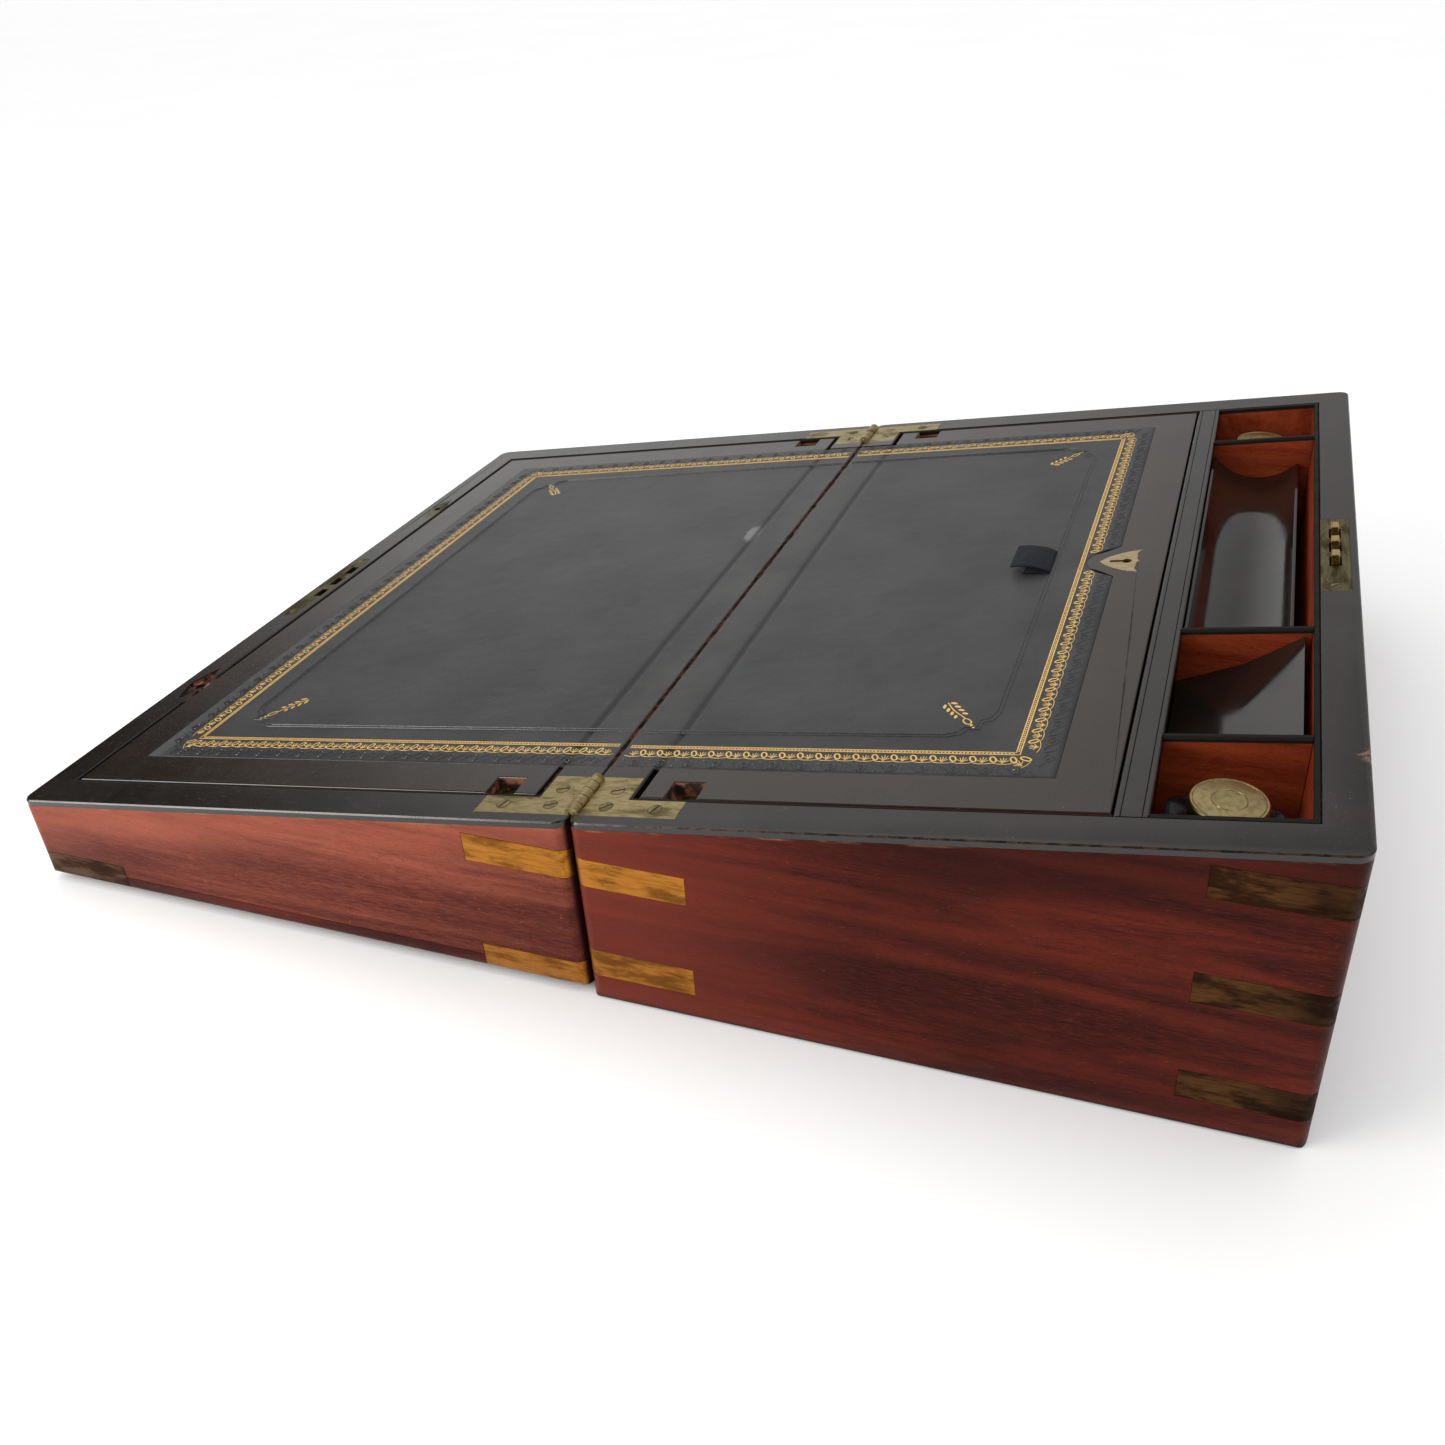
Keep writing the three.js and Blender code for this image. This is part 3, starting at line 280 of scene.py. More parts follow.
MAHOGANY_DARK = (0.026, 0.0022, 0.0010)
MAHOGANY_LIGHT = (0.115, 0.0140, 0.0052)
# lid side mahogany: a lighter copy of the side mahogany, painted light
LID_SIDE_LIT_DARK = (0.075, 0.011, 0.0065)
LID_SIDE_LIT_LIGHT = (0.255, 0.062, 0.034)
WELL_DARK = (0.13, 0.016, 0.0055)
WELL_LIGHT = (0.27, 0.046, 0.014)
# the well floor: near black, painted shade deep in the compartments
WELL_FLOOR_SHADE_DARK = (0.012, 0.006, 0.005)
WELL_FLOOR_SHADE_LIGHT = (0.045, 0.014, 0.008)
BARE_DARK = (0.20, 0.06, 0.02)
BARE_LIGHT = (0.42, 0.20, 0.09)


def top_edge(g):
    """The wood right under the rim."""
    return g.spread(g.depth(), -3.7, -3.0)


def hinge_gap_shade(g):
    """Painted shade: the dark gap where the two halves meet."""
    return g.spread(g.math("ABSOLUTE", g.along(WORLD_X)), 2.4, 0.9)


def lower_edge_and_gap_shade(g):
    """Darker along the foot of the base, and painted shade in the hinge gap."""
    return g.math("MAXIMUM", g.spread(g.along(WORLD_Z), 3.0, 0.4), hinge_gap_shade(g))


def lid_lower_edge_and_gap_shade(g):
    """Darker along the lid panel's edge, and painted shade in the hinge gap."""
    return g.math("MAXIMUM", g.spread(g.along(WORLD_Z), 7.0, 4.6), hinge_gap_shade(g))


def under_rim_shade(g):
    """Painted shade on the upper part of the base side away from the hinge line."""
    return g.times(g.spread(g.depth(), -34, -10), g.spread(g.reach(), 60, 150))


def hinge_end_light(g):
    """Painted light on the part of a side nearest the hinge line."""
    return g.spread(g.math("ABSOLUTE", g.reach()), 105, 5)


def lid_upper_reflection(g):
    """Painted reflection on the upper part of the lid's side, paler towards the rim."""
    return g.spread(g.depth(), -30, -6, 0, 0.55)


def bead_top(g):
    """The bead that stands beside a flap is blacked like the rim."""
    return g.spread(g.depth(), -2.68, -2.60)


def ebonised_lip(g):
    """The top edge of the compartment walls is blacked like the rim."""
    return g.spread(g.depth(), -2.2, -1.8)


def black_polish(name, gloss=0.15, wear=None, raw=None, brown=0.0, specular=0.6):
    """Ebonised and polished wood. wear(graph) is 1 on rubbed edges, raw(graph) is 1 on bare wood."""
    g = Graph(name, Specular_IOR_Level=specular)
    fibres = g.noise(0.5, ALONG_Y, detail=3)
    cloud = g.spread(g.noise(38, detail=3), 0.35, 0.7)
    colour = g.mix(cloud, (0.0060, 0.0048, 0.0038), (0.0130, 0.0092, 0.0066))
    colour = g.mix(brown, colour, (0.030, 0.016, 0.009))
    hair = scratches(g, 0.28, 60, 0.69, (0, 0, 0.5))
    cross = scratches(g, 0.3, 45, 0.70, (0, 0, -1.1))
    marks = g.math("MAXIMUM", hair, cross)
    colour = g.mix(g.times(marks, 0.3), colour, (0.09, 0.078, 0.066))
    dust = g.spread(g.cells(2.6), 0.09, 0.05)
    colour = g.mix(g.times(dust, g.spread(g.noise(20), 0.55, 0.65), 0.5), colour, (0.22, 0.2, 0.17))
    smear = g.noise(14, (1, 3, 1), detail=5, roughness=0.65)
    rough = g.spread(smear, 0.3, 0.75, gloss, gloss + 0.10)
    if wear is not None:
        rubbed = g.times(wear(g), g.spread(g.noise(3.4, detail=6), 0.40, 0.60))
        colour = g.mix(rubbed, colour, (0.13, 0.072, 0.036))
        rough = g.math("ADD", rough, g.times(rubbed, 0.25), clamp=True)
    if raw is not None:
        bare = raw(g)
        grain = g.mix(g.noise(0.5, ALONG_X), (0.16, 0.035, 0.014), (0.36, 0.15, 0.07))
        dirt = g.spread(g.noise(4.5, detail=5), 0.42, 0.60)
        colour = g.mix(bare, colour, g.mix(dirt, (0.020, 0.010, 0.007), grain))
        rough = g.math("ADD", rough, g.times(bare, 0.45), clamp=True)
    g.set(Base_Color=colour, Roughness=rough)
    relief = g.bump(fibres, 0.012)
    g.set(Normal=g.bump(marks, -0.012, relief))
    return g.material


BASE_RIM_HIGH = on_slope("base_rim")[1]
LID_RIM_LOW = on_slope("lid_rim")[0]
BASE_RIM_CHIP = (BASE_RIM_HIGH.x, -149, 4.0)
FLAP_SIDE = 172.0
BASE_NOTCHES, LID_NOTCHES = (30, 42), (-42, -30)
LID_FLAP_START = -21.0
LOST_PLATE_Y, LOST_PLATE_S = (-120, -88), (-251, -239)


def outer_edge(s_end, *chips):
    """1 on the outer arris of a half's top, and round each chip (s, y, radius) knocked out of it."""
    def mask(g):
        across = g.math("ABSOLUTE", g.along(ACROSS))
        side = g.spread(across, BASE_RIM_HIGH.y - 0.9, BASE_RIM_HIGH.y - 0.4)
        reach = g.math("ABSOLUTE", g.reach())
        end = g.spread(reach, abs(s_end) - 0.9, abs(s_end) - 0.4)
        arris = g.times(g.math("MAXIMUM", side, end), g.spread(g.depth(), -0.85, -0.65), 0.2)
        for s, y, radius in chips:
            ends = {0: g.place, 1: point(s, y, -0.5)}
            centre = g.add("ShaderNodeVectorMath", ends, operation="DISTANCE")
            ragged = g.math("ADD", g.math("MULTIPLY", g.noise(2.2, detail=5), radius), radius * 0.4)
            far = g.math("DIVIDE", centre.outputs["Value"], g.math("MULTIPLY", ragged, MM))
            arris = g.math("MAXIMUM", arris, g.spread(far, 1.15, 0.85))
        return arris
    return mask


def flap_notches(s0, s1):
    """1 on the walls of the notches in a flap's sides, below its polished top."""
    def mask(g):
        reach = g.inside(g.reach(), s0 - 0.6, s1 + 0.6, 0.25)
        across = g.spread(g.math("ABSOLUTE", g.along(ACROSS)), FLAP_SIDE, FLAP_SIDE + 0.6)
        deep = g.spread(g.depth(), -0.7, -1.0)
        return g.times(reach, across, deep)
    return mask


def lid_flap_raw(g):
    """Bare wood on the hinge-side end of the lid flap and in its notches."""
    notches = flap_notches(*LID_NOTCHES)(g)
    start = g.spread(g.reach(), LID_FLAP_START - 0.2, LID_FLAP_START + 0.1)
    end = g.times(start, g.spread(g.depth(), -1.6, -1.9))
    return g.math("MAXIMUM", notches, end)


def lost_plate(g):
    """Bare wood in the recess of the lost lozenge plate."""
    along = g.inside(g.along(ACROSS), *LOST_PLATE_Y, 0.4)
    across = g.inside(g.reach(), *LOST_PLATE_S, 0.4)
    recess = g.times(along, across, g.spread(g.depth(), -0.5, -0.75))
    return g.times(recess, g.spread(g.noise(6, detail=4), 0.46, 0.56))


# ---- metals ----
def metal(name, bright, tarnish, rough=0.3, amount=0.5, brush=ALONG_X, pits=0.3, painted_shade=None):
    """Old brass or iron: tarnish clouds, dark pits, brushed lines and fingermarks."""
    g = Graph(name, Metallic=1.0)
    clouds = g.noise(6.5, [min(k, 3) for k in brush], detail=6, roughness=0.62)
    streaks = g.noise(0.7, brush, detail=4)
    stain = g.times(g.spread(clouds, 0.66 - amount * 0.35, 0.86 - amount * 0.35), 0.9)
    colour = g.mix(stain, bright, tarnish)
    colour = g.mix(g.times(g.spread(streaks, 0.42, 0.7), 0.45), colour, [c * 0.55 for c in tarnish])
    spots = g.times(g.spread(g.cells(1.7), 0.16, 0.09), g.spread(g.noise(7), 0.5, 0.62))
    colour = g.mix(g.times(spots, pits), colour, [c * 0.2 for c in tarnish])
    # painted shade: darker brass where the mask is 1, in the hinge gap and at the deep end
    if painted_shade is not None:
        colour = g.mix(painted_shade(g), colour, [c * 0.5 for c in tarnish])
    dullness = g.math("ADD", stain, streaks)
    g.set(Base_Color=colour, Roughness=g.spread(dullness, 0.2, 1.4, rough, rough + 0.3))
    relief = g.bump(streaks, 0.02)
    g.set(Normal=g.bump(spots, -0.03, relief))
    return g.material


def front_painted_shade(g):
    """Painted shade on the straps at the deep end of the base, darkest there, in patches."""
    corner = g.spread(g.along(WORLD_X), 222, 247, 0.15, 0.8)
    return g.times(corner, g.spread(g.noise(9, detail=5), 0.25, 0.6, 0.6, 1.0))


# ---- leather and gilding ----
# middle and half size (s, y) of a torn, whitened patch of the lid leather beside its fold
BRUISE, BRUISE_SIZE = (-21.5, 47), (5.5, 15)
# where each leather bends between the rim and the flap, as distances from the hinge line
FOLD = (18.6, 20.4)


def leather():
    """Fine-grained black skiver, worn through to red-brown along its torn edges."""
    g = Graph("leather", Specular_IOR_Level=0.45)
    g.place = g.add("ShaderNodeUVMap", uv_map="flat").outputs[0]
    grain = g.cells(0.62, "DISTANCE_TO_EDGE")
    fine = g.noise(0.45, detail=5, roughness=0.7)
    cloud = g.spread(g.noise(45, detail=4), 0.3, 0.7)
    colour = g.mix(cloud, (0.0135, 0.0138, 0.0150), (0.026, 0.0262, 0.0275))
    colour = g.mix(g.times(g.spread(fine, 0.5, 0.75), 0.35), colour, (0.045, 0.046, 0.050))
    scuff = g.times(g.spread(g.noise(7, (1, 3, 1), detail=7, roughness=0.7), 0.6, 0.74), 0.5)
    colour = g.mix(scuff, colour, (0.055, 0.052, 0.050))
    lint = g.spread(g.cells(4.5), 0.045, 0.025)
    colour = g.mix(g.times(lint, g.spread(g.noise(30), 0.5, 0.6)), colour, (0.32, 0.31, 0.29))
    parts = g.add("ShaderNodeSeparateXYZ", {0: g.scaled((1 / MM, 1 / MM, 1 / MM))})
    s, y = g.math("ABSOLUTE", parts.outputs[0]), parts.outputs[1]
    rough = g.spread(fine, 0.3, 0.8, 0.34, 0.5)
    ragged = g.noise(5.5, (0.7, 1.6, 1), detail=7, roughness=0.68)
    worn = g.spread(g.math("ADD", s, g.math("MULTIPLY", ragged, 2.4)), 2.6, 1.7)
    side_edge = g.spread(g.math("ABSOLUTE", y), LEATHER_HALF - 1.4, LEATHER_HALF - 0.7)
    frayed = g.times(side_edge, g.spread(s, 24, 18), g.spread(ragged, 0.50, 0.56))
    bare = g.math("MAXIMUM", worn, frayed)
    flesh = g.mix(g.noise(1.4, detail=5), (0.030, 0.0085, 0.005), (0.14, 0.048, 0.026))
    colour = g.mix(bare, colour, flesh)
    polished = g.times(g.spread(s, 22, 3), g.spread(g.noise(30), 0.35, 0.6))
    colour = g.mix(g.times(polished, 0.5), colour, (0.040, 0.038, 0.031))
    squares = []
    for flat, middle, half in zip(parts.outputs, BRUISE, BRUISE_SIZE):
        offset = g.math("DIVIDE", g.math("SUBTRACT", flat, middle), half)
        squares.append(g.math("MULTIPLY", offset, offset))
    spot = g.math("ADD", *squares)
    torn = g.spread(g.math("ADD", spot, g.math("MULTIPLY", ragged, 1.8)), 1.5, 1.15)
    colour = g.mix(g.times(torn, 0.7), colour, (0.17, 0.165, 0.16))
    # painted shadow: darker in the groove where the leather bends
    fold_shade = g.inside(s, FOLD[0] - 0.2, FOLD[1] + 0.4, 0.6)
    colour = g.mix(g.times(fold_shade, 0.75), colour, (0.0045, 0.0042, 0.0042))
    rough = g.math("ADD", rough, g.times(bare, 0.35), clamp=True)
    g.set(Base_Color=colour, Roughness=rough)
    relief = g.bump(g.spread(grain, 0.0, 0.22), 0.035)
    relief = g.bump(fine, 0.04, relief)
    g.set(Normal=g.bump(g.noise(9, detail=3), 0.25, relief))
    return g.material


def gilt():
    """Gold leaf pressed into the leather, thin and rubbed in places."""
    g = Graph("gilt")
    rub = g.spread(g.noise(3.2, detail=6, roughness=0.7), 0.62, 0.72)
    tone = g.noise(1.2, detail=3)
    colour = g.mix(tone, (0.66, 0.38, 0.09), (1.0, 0.70, 0.26))
    g.set(
        Base_Color=g.mix(rub, colour, (0.10, 0.06, 0.03)),
        Metallic=g.spread(rub, 0, 1, 0.6, 0.1),
        Roughness=g.spread(tone, 0.3, 0.7, 0.32, 0.5),
    )
    return g.material


def blind_tooling():
    """Leather pressed by a hot tool: shinier than the rest."""
    g = Graph("blind_tooling", Specular_IOR_Level=0.6)
    tone = g.noise(2.5, detail=4)
    g.set(
        Base_Color=g.mix(tone, (0.008, 0.0085, 0.010), (0.022, 0.023, 0.026)),
        Roughness=g.spread(tone, 0.3, 0.7, 0.22, 0.36),
        Normal=g.bump(g.noise(0.5), 0.03),
    )
    return g.material


def suede():
    """The torn inner side of the leather, open and fibrous."""
    g = Graph("suede", Specular_IOR_Level=0.2)
    tone = g.noise(0.7, detail=6, roughness=0.7)
    colour = g.mix(g.spread(tone, 0.42, 0.62), (0.010, 0.0045, 0.003), (0.17, 0.062, 0.032))
    blackened = g.spread(g.noise(4.5, detail=4), 0.42, 0.58)
    g.set(Base_Color=g.mix(blackened, colour, (0.008, 0.0055, 0.0045)), Roughness=0.9)
    g.set(Normal=g.bump(tone, 0.25))
    return g.material


def ribbon():
    """Dark blue woven ribbon, a little faded."""
    g = Graph("ribbon", Sheen_Weight=0.05, Sheen_Roughness=0.4, Specular_IOR_Level=0.2)
    g.place = g.add("ShaderNodeUVMap", uv_map="flat").outputs[0]
    inputs = {"Vector": g.scaled((1 / MM, 1 / MM, 1 / MM)), "Scale": 2.2, "Distortion": 0.3}
    warp = g.add("ShaderNodeTexWave", inputs, bands_direction="X").outputs["Fac"]
    weft = g.add("ShaderNodeTexWave", inputs, bands_direction="Y").outputs["Fac"]
    weave = g.math("MULTIPLY", warp, weft)
    colour = g.mix(weave, (0.0030, 0.0036, 0.0080), (0.011, 0.013, 0.027))
    faded = g.times(g.spread(g.noise(6, detail=4), 0.5, 0.7), 0.5)
    g.set(
        Base_Color=g.mix(faded, colour, (0.020, 0.021, 0.032)),
        Roughness=g.spread(weave, 0, 1, 0.65, 0.85),
        Normal=g.bump(weave, 0.12),
    )
    return g.material


def glass():
    """Ink bottle glass, darkened in clouds: painted shade standing for the shade in its compartment."""
    g = Graph("glass", Transmission_Weight=0.45, IOR=1.5)
    stain = g.spread(g.noise(8, detail=5), 0.30, 0.6)
    g.set(
        Base_Color=g.mix(stain, (0.10, 0.115, 0.12), (0.008, 0.009, 0.013)),
        Roughness=g.spread(stain, 0, 1, 0.04, 0.22),
        Normal=g.bump(g.noise(14), 0.3),
    )
    return g.material


def grime_and_shade():
    """Dirt packed round the screw heads, and painted shade in their countersinks."""
    g = Graph("grime_and_shade")
    g.set(Base_Color=g.mix(g.noise(1), (0.008, 0.006, 0.004), (0.03, 0.022, 0.012)), Roughness=0.7)
    return g.material


# ---- meshes ----
def make(name, vertices, faces, material, smooth=True):
    data = bpy.data.meshes.new(name)
    data.from_pydata([tuple(v) for v in vertices], [], faces)
    data.materials.append(material)
    data.polygons.foreach_set("use_smooth", [smooth] * len(faces))
    made = bpy.data.objects.new(name, data)
    bpy.context.scene.collection.objects.link(made)
    return made


def grid(rows, across):
    """The quads of a sheet of rows of vertices, each row across vertices long."""
    corners = [i * across + j for i in range(rows) for j in range(across - 1)]
    return [(a, a + 1, a + across + 1, a + across) for a in corners]


def thicken(made, thickness, offset=-1):
    skin = made.modifiers.new("skin", "SOLIDIFY")
    skin.thickness = thickness * MM
    skin.offset = offset


def ripple(*place):
    """Smooth noise, about -0.5 to 0.5, at a place of three coordinates."""
    return noise.noise(Vector(place))


def flat_map(made, places):
    """Keeps each vertex's place on the flat sheet, in metres, as a UV map."""
    layer = made.data.uv_layers.new(name="flat")
    for loop in made.data.loops:
        layer.data[loop.index].uv = Vector(places[loop.vertex_index]) * MM


def ease(made, width):
    """Joins the facets of a mesh and rounds its arrises a little."""
    weld = made.modifiers.new("weld", "WELD")
    weld.merge_threshold = 0.004 * MM
    flats = made.modifiers.new("flats", "DECIMATE")
    flats.decimate_type = "DISSOLVE"
    flats.angle_limit = math.radians(0.8)
    bevel = made.modifiers.new("bevel", "BEVEL")
    bevel.width = width * MM
    bevel.segments = 2
    bevel.limit_method = "ANGLE"
    bevel.angle_limit = math.radians(32)
    bevel.harden_normals = True
    bevel.use_clamp_overlap = True


def finish_node(name, material, width=0.25):
    """Gives a CAD node its material and arrises eased by width millimetres."""
    node = NODES[name]
    node.data.materials.clear()
    node.data.materials.append(material)
    if "custom_normal" in node.data.attributes:
        node.data.attributes.remove(node.data.attributes["custom_normal"])
    node.data.polygons.foreach_set("use_smooth", [True] * len(node.data.polygons))
    ease(node, width)


class Ridges:
    """Thin raised lines that lie on the slope, gathered into one mesh."""

    def __init__(self, width, height, base):
        self.width, self.height, self.base = width, height, base
        self.vertices, self.faces = [], []

    def line(self, path, width=None, closed=False):
        """path is a list of (s, y) in millimetres."""
        half = (width or self.width) / 2
        count = len(path)
        first = len(self.vertices)
        for i, (s, y) in enumerate(path):
            before = path[i - 1] if i or closed else path[i]
            after = path[(i + 1) % count] if i < count - 1 or closed else path[i]
            ds, dy = after[0] - before[0], after[1] - before[1]
            length = math.hypot(ds, dy) or 1
            across = (-dy / length * half, ds / length * half)
            for side, rise in ((1, 0), (0.45, self.height), (-0.45, self.height), (-1, 0)):
                place = (s + across[0] * side, y + across[1] * side)
                self.vertices.append(point(*place, self.base + rise))
        steps = count if closed else count - 1
        for i in range(steps):
            a, b = first + 4 * i, first + 4 * ((i + 1) % count)
            for k in range(4):
                self.faces.append((a + k, b + k, b + (k + 1) % 4, a + (k + 1) % 4))
        if not closed:
            last = first + 4 * (count - 1)
            self.faces.append(tuple(first + k for k in range(4)))
            self.faces.append(tuple(last + 3 - k for k in range(4)))

    def dab(self, loop):
        """A filled leaf or petal with a raised middle; loop is a closed list of (s, y)."""
        count = len(loop)
        first = len(self.vertices)
        centre = Vector((sum(s for s, _ in loop), sum(y for _, y in loop))) / count
        for inset, rise in ((0, 0), (0.15, self.height)):
            for place in loop:
                self.vertices.append(point(*Vector(place).lerp(centre, inset), self.base + rise))
        for i in range(count):
            j = (i + 1) % count
            self.faces.append((first + i, first + j, first + count + j, first + count + i))
        self.faces.append(tuple(range(first + count, first + 2 * count)))
        self.faces.append(tuple(reversed(range(first, first + count))))

    def done(self, name, material):
        return make(name, self.vertices, self.faces, material, smooth=False)


def oval(u, v, long, short, turn, count=10):
    """An oval loop round (u, v), its long axis turned from the v direction."""
    loop = []
    for i in range(count):
        a = 2 * math.pi * i / count
        p, q = long * math.cos(a), short * math.sin(a)
        du = p * math.sin(turn) + q * math.cos(turn)
        dv = p * math.cos(turn) - q * math.sin(turn)
        loop.append((u + du, v + dv))
    return loop


# ---- the leathers ----
BASE_LEATHER_END, LEATHER_HALF, LEATHER_TOP = on_slope("base_flap_leather")[1]
LID_LEATHER_END = on_slope("lid_flap_leather")[0].x
BAY_HALF = 15
BAY_TIP = BASE_LEATHER_END - 12.9
# the inner line (s, y) of each half's gilt frame
BASE_FRAME, LID_FRAME = (146.1, 149.7), (202.2, 148.9)
GILT_LINES, BEAD_LINE, BEAD_PITCH = (0.2, 1.6), 0.9, 1.3
SPRIG_INSET = (24.5, 24)
SCROLL_LINE, SCROLL_PITCH = 8.2, 10.5
OGEE_INSET, OGEE_LINES = (11.5, 10.5), (0, 1.5)


def base_leather_end(y):
    """The edge of the base leather, with its pointed bay round the escutcheon."""
    distance = abs(y)
    if distance >= BAY_HALF:
        return BASE_LEATHER_END
    t = distance / BAY_HALF
    flare = t ** 3 * 9.6
    return min(BASE_LEATHER_END, BAY_TIP + 3.3 * t ** 0.8 + flare)


def torn_edge(y):
    """How far the leather is worn back from the hinge line."""
    return 0.9 + 0.45 * ripple(y * 0.9, 3.1, 0) + 0.9 * max(0, ripple(y * 0.11, 7.7, 0))


def leather_height(s, y):
    """Relief of the upper face: a dip over the groove under it and slight waves."""
    reach = abs(s)
    dip = (0.6 if s > 0 else 1.2) * math.exp(-((reach - sum(FOLD) / 2) / 1.4) ** 2)
    waves = 0.05 * ripple(s * 0.02, y * 0.02, 1.7)
    lift = 0.12 * math.exp(-reach / 3) * (0.5 + ripple(s * 0.2, y * 0.3, 4.4))
    return LEATHER_TOP - 0.04 - dip + waves + lift


def leather_sheet(name, way, end_of, material):
    """One leather: a sheet of columns up the slope, closest together at its fold."""
    steps = [2, 4, 6, 9, 12, 15, 16.5, 17.5, 18.2, 18.8, 19.5, 20.2, 20.8, 21.5, 22.5, 24]
    steps += [24 + 4 * i for i in range(1, 30)]
    limit = min(abs(end_of(0)), abs(end_of(LEATHER_HALF))) - 4
    steps = [s for s in steps if s < limit]
    rows = int(2 * LEATHER_HALF / 1.25)
    tail = 10
    vertices, places = [], []
    for i in range(rows + 1):
        y = -LEATHER_HALF + 2 * LEATHER_HALF * i / rows
        columns = [torn_edge(y)] + steps
        last = steps[-1]
        columns += [last + (abs(end_of(y)) - last) * k / tail for k in range(1, tail + 1)]
        for s in columns:
            places.append((way * s, y))
            vertices.append(point(way * s, y, leather_height(s, y)))
    faces = [quad[::way] for quad in grid(rows, len(columns))]
    made = make(name, vertices, faces, material)
    flat_map(made, places)
    thicken(made, 0.55)
    return made


class Border:
    """The three sides of a tooled frame: (u, v) is along a side and outwards from its inner line."""

    def __init__(self, way, s_inner, y_inner, s_start):
        self.sides = [
            (s_start, s_inner, lambda u, v: (way * u, -y_inner - v)),
            (-y_inner, y_inner, lambda u, v: (way * (s_inner + v), u)),
            (s_start, s_inner, lambda u, v: (way * u, y_inner + v)),
        ]

    def repeat(self, pitch):
        """Evenly spaced (u, to_slope) along each side, at the middle of each repeat."""
        for start, end, to_slope in self.sides:
            count = round((end - start) / pitch)
            step = (end - start) / count
            for i in range(count):
                yield start + (i + 0.5) * step, step, to_slope

    def corner(self, hand):
        """(u, v) across and along the diagonal of a corner, with the loop of a motif in its middle."""
        s, y = self.sides[1][2](self.sides[1][1], 0)
        way = 1 if s > 0 else -1
        half = math.sqrt(0.5)
        return lambda u, v: (s + way * half * (v * 1.2 + u), hand * (y + half * (v * 1.2 - u)))

    def outline(self, v):
        """The frame's line at offset v, from the hinge line round to the hinge line."""
        (start, end, near), (_, _, across), (_, _, far) = self.sides
        corner = abs(near(0, v)[1])
        stops = [start + (end + v - start) * i / 40 for i in range(41)]
        path = [near(u, v) for u in stops]
        path += [across(-corner + 2 * corner * i / 60, v) for i in range(1, 60)]
        return path + [far(u, v) for u in reversed(stops)]


MOTIF = 7.0
PETAL_TURNS = (-1.1, -0.55, 0, 0.55, 1.1)


def gilt_motif(lines, to_slope, u0, step, keep):
    """A fan of fine petals, a bold tilted loop between fans and a scalloped outer line."""
    foot = 6.6
    paths = []
    for turn in PETAL_TURNS:
        tip = (u0 + math.sin(turn) * 2.1, foot - math.cos(turn) * 3.0)
        paths.append(([(u0 + math.sin(turn) * 0.5, foot - 0.5), tip], 0.34, False))
    paths.append((oval(u0, foot - 0.1, 0.35, 0.35, 0, 7), 0.3, True))
    paths.append((oval(u0 + step / 2, 4.7, 1.75, 0.95, 0.45, 12), 0.62, True))
    scallop = [(u0 + (t / 8 - 0.5) * step, 7.5 - 0.7 * abs(t / 4 - 1) ** 2.5) for t in range(9)]
    paths.append((scallop, 0.3, False))
    for path, width, closed in paths:
        on_leather = [to_slope(u, v) for u, v in path]
        if all(keep(s, y) for s, y in on_leather):
            lines.line(on_leather, width, closed)


def bead_row(lines, border, v, pitch, keep):
    """A row of short dashes along a border."""
    for u, step, to_slope in border.repeat(pitch):
        path = [to_slope(u - step * 0.3, v), to_slope(u + step * 0.3, v)]
        if all(keep(s, y) for s, y in path):
            lines.line(path, width=0.55)


def scroll(lines, to_slope, u0, step, keep):
    """A pressed scroll: a spiral that runs out into a long tail, with a leaf over it."""
    spiral = []
    for i in range(22):
        a = i / 21 * 2.6 * math.pi
        radius = 0.35 + 0.24 * a
        spiral.append((u0 + radius * math.cos(a), 2.9 + radius * math.sin(a) * 0.95))
    curve = [(t / 6, math.sin(t / 6 * math.pi / 2)) for t in range(7)]
    leaf = [(u0 + step * (0.28 + 0.22 * t), 1.2 + 3.6 * rise) for t, rise in curve]
    tail = [(u0 - step * (0.1 + 0.4 * t), 5.2 - 4.2 * rise) for t, rise in curve]
    for path in (spiral, leaf, tail):
        on_leather = [to_slope(u, v) for u, v in path]
        if all(keep(s, y) for s, y in on_leather):
            lines.line(on_leather)


def sprig(lines, s0, y0, way, hand):
    """A small leafy sprig that points to the frame's corner: leaves, a loop and two berries."""
    along = Vector((0.62 * way, 0.78 * hand))
    side = Vector((-along.y, along.x))

    def place(a, b):
        p = Vector((s0, y0)) + along * a + side * b
        return p.x, p.y

    lines.line([place(a, 0.4 * math.sin(a * 0.4)) for a in range(-10, 5, 2)], width=0.5)
    for i in range(4):
        for hand_side in (-1, 1):
            a, b = -8.4 + i * 3.0, hand_side * 1.9
            leaf = oval(a, b, 1.5 - 0.1 * i, 0.66, hand_side * 0.95, 9)
            lines.dab([place(u, v) for u, v in leaf])
    lines.line([place(u, v) for u, v in oval(6.0, 0, 1.2, 2.2, 0, 14)], width=0.55, closed=True)
    for a in (9.2, 10.9):
        lines.dab([place(u, v) for u, v in oval(a, 0, 0.6, 0.6, 0, 8)])


def ogee_frame(way, s_side, y_side, start, v):
    """A thin frame whose corners step inwards in two small hollows."""
    s, y = s_side + v, y_side + v
    steps = [(-16, 0), (-11.5, 1.6), (-9.5, 5.0), (-5.2, 5.2), (-5.0, 9.5), (-1.6, 11.5), (0, 16)]
    near = [(start + (s - 16 - start) * i / 30, -y) for i in range(30)]
    near += [(s + a, -y + b) for a, b in steps]
    side = [(s, -y + 16 + (2 * y - 32) * i / 50) for i in range(1, 50)]
    path = near + side + [(p, -q) for p, q in reversed(near)]
    return [(way * p, q) for p, q in path]


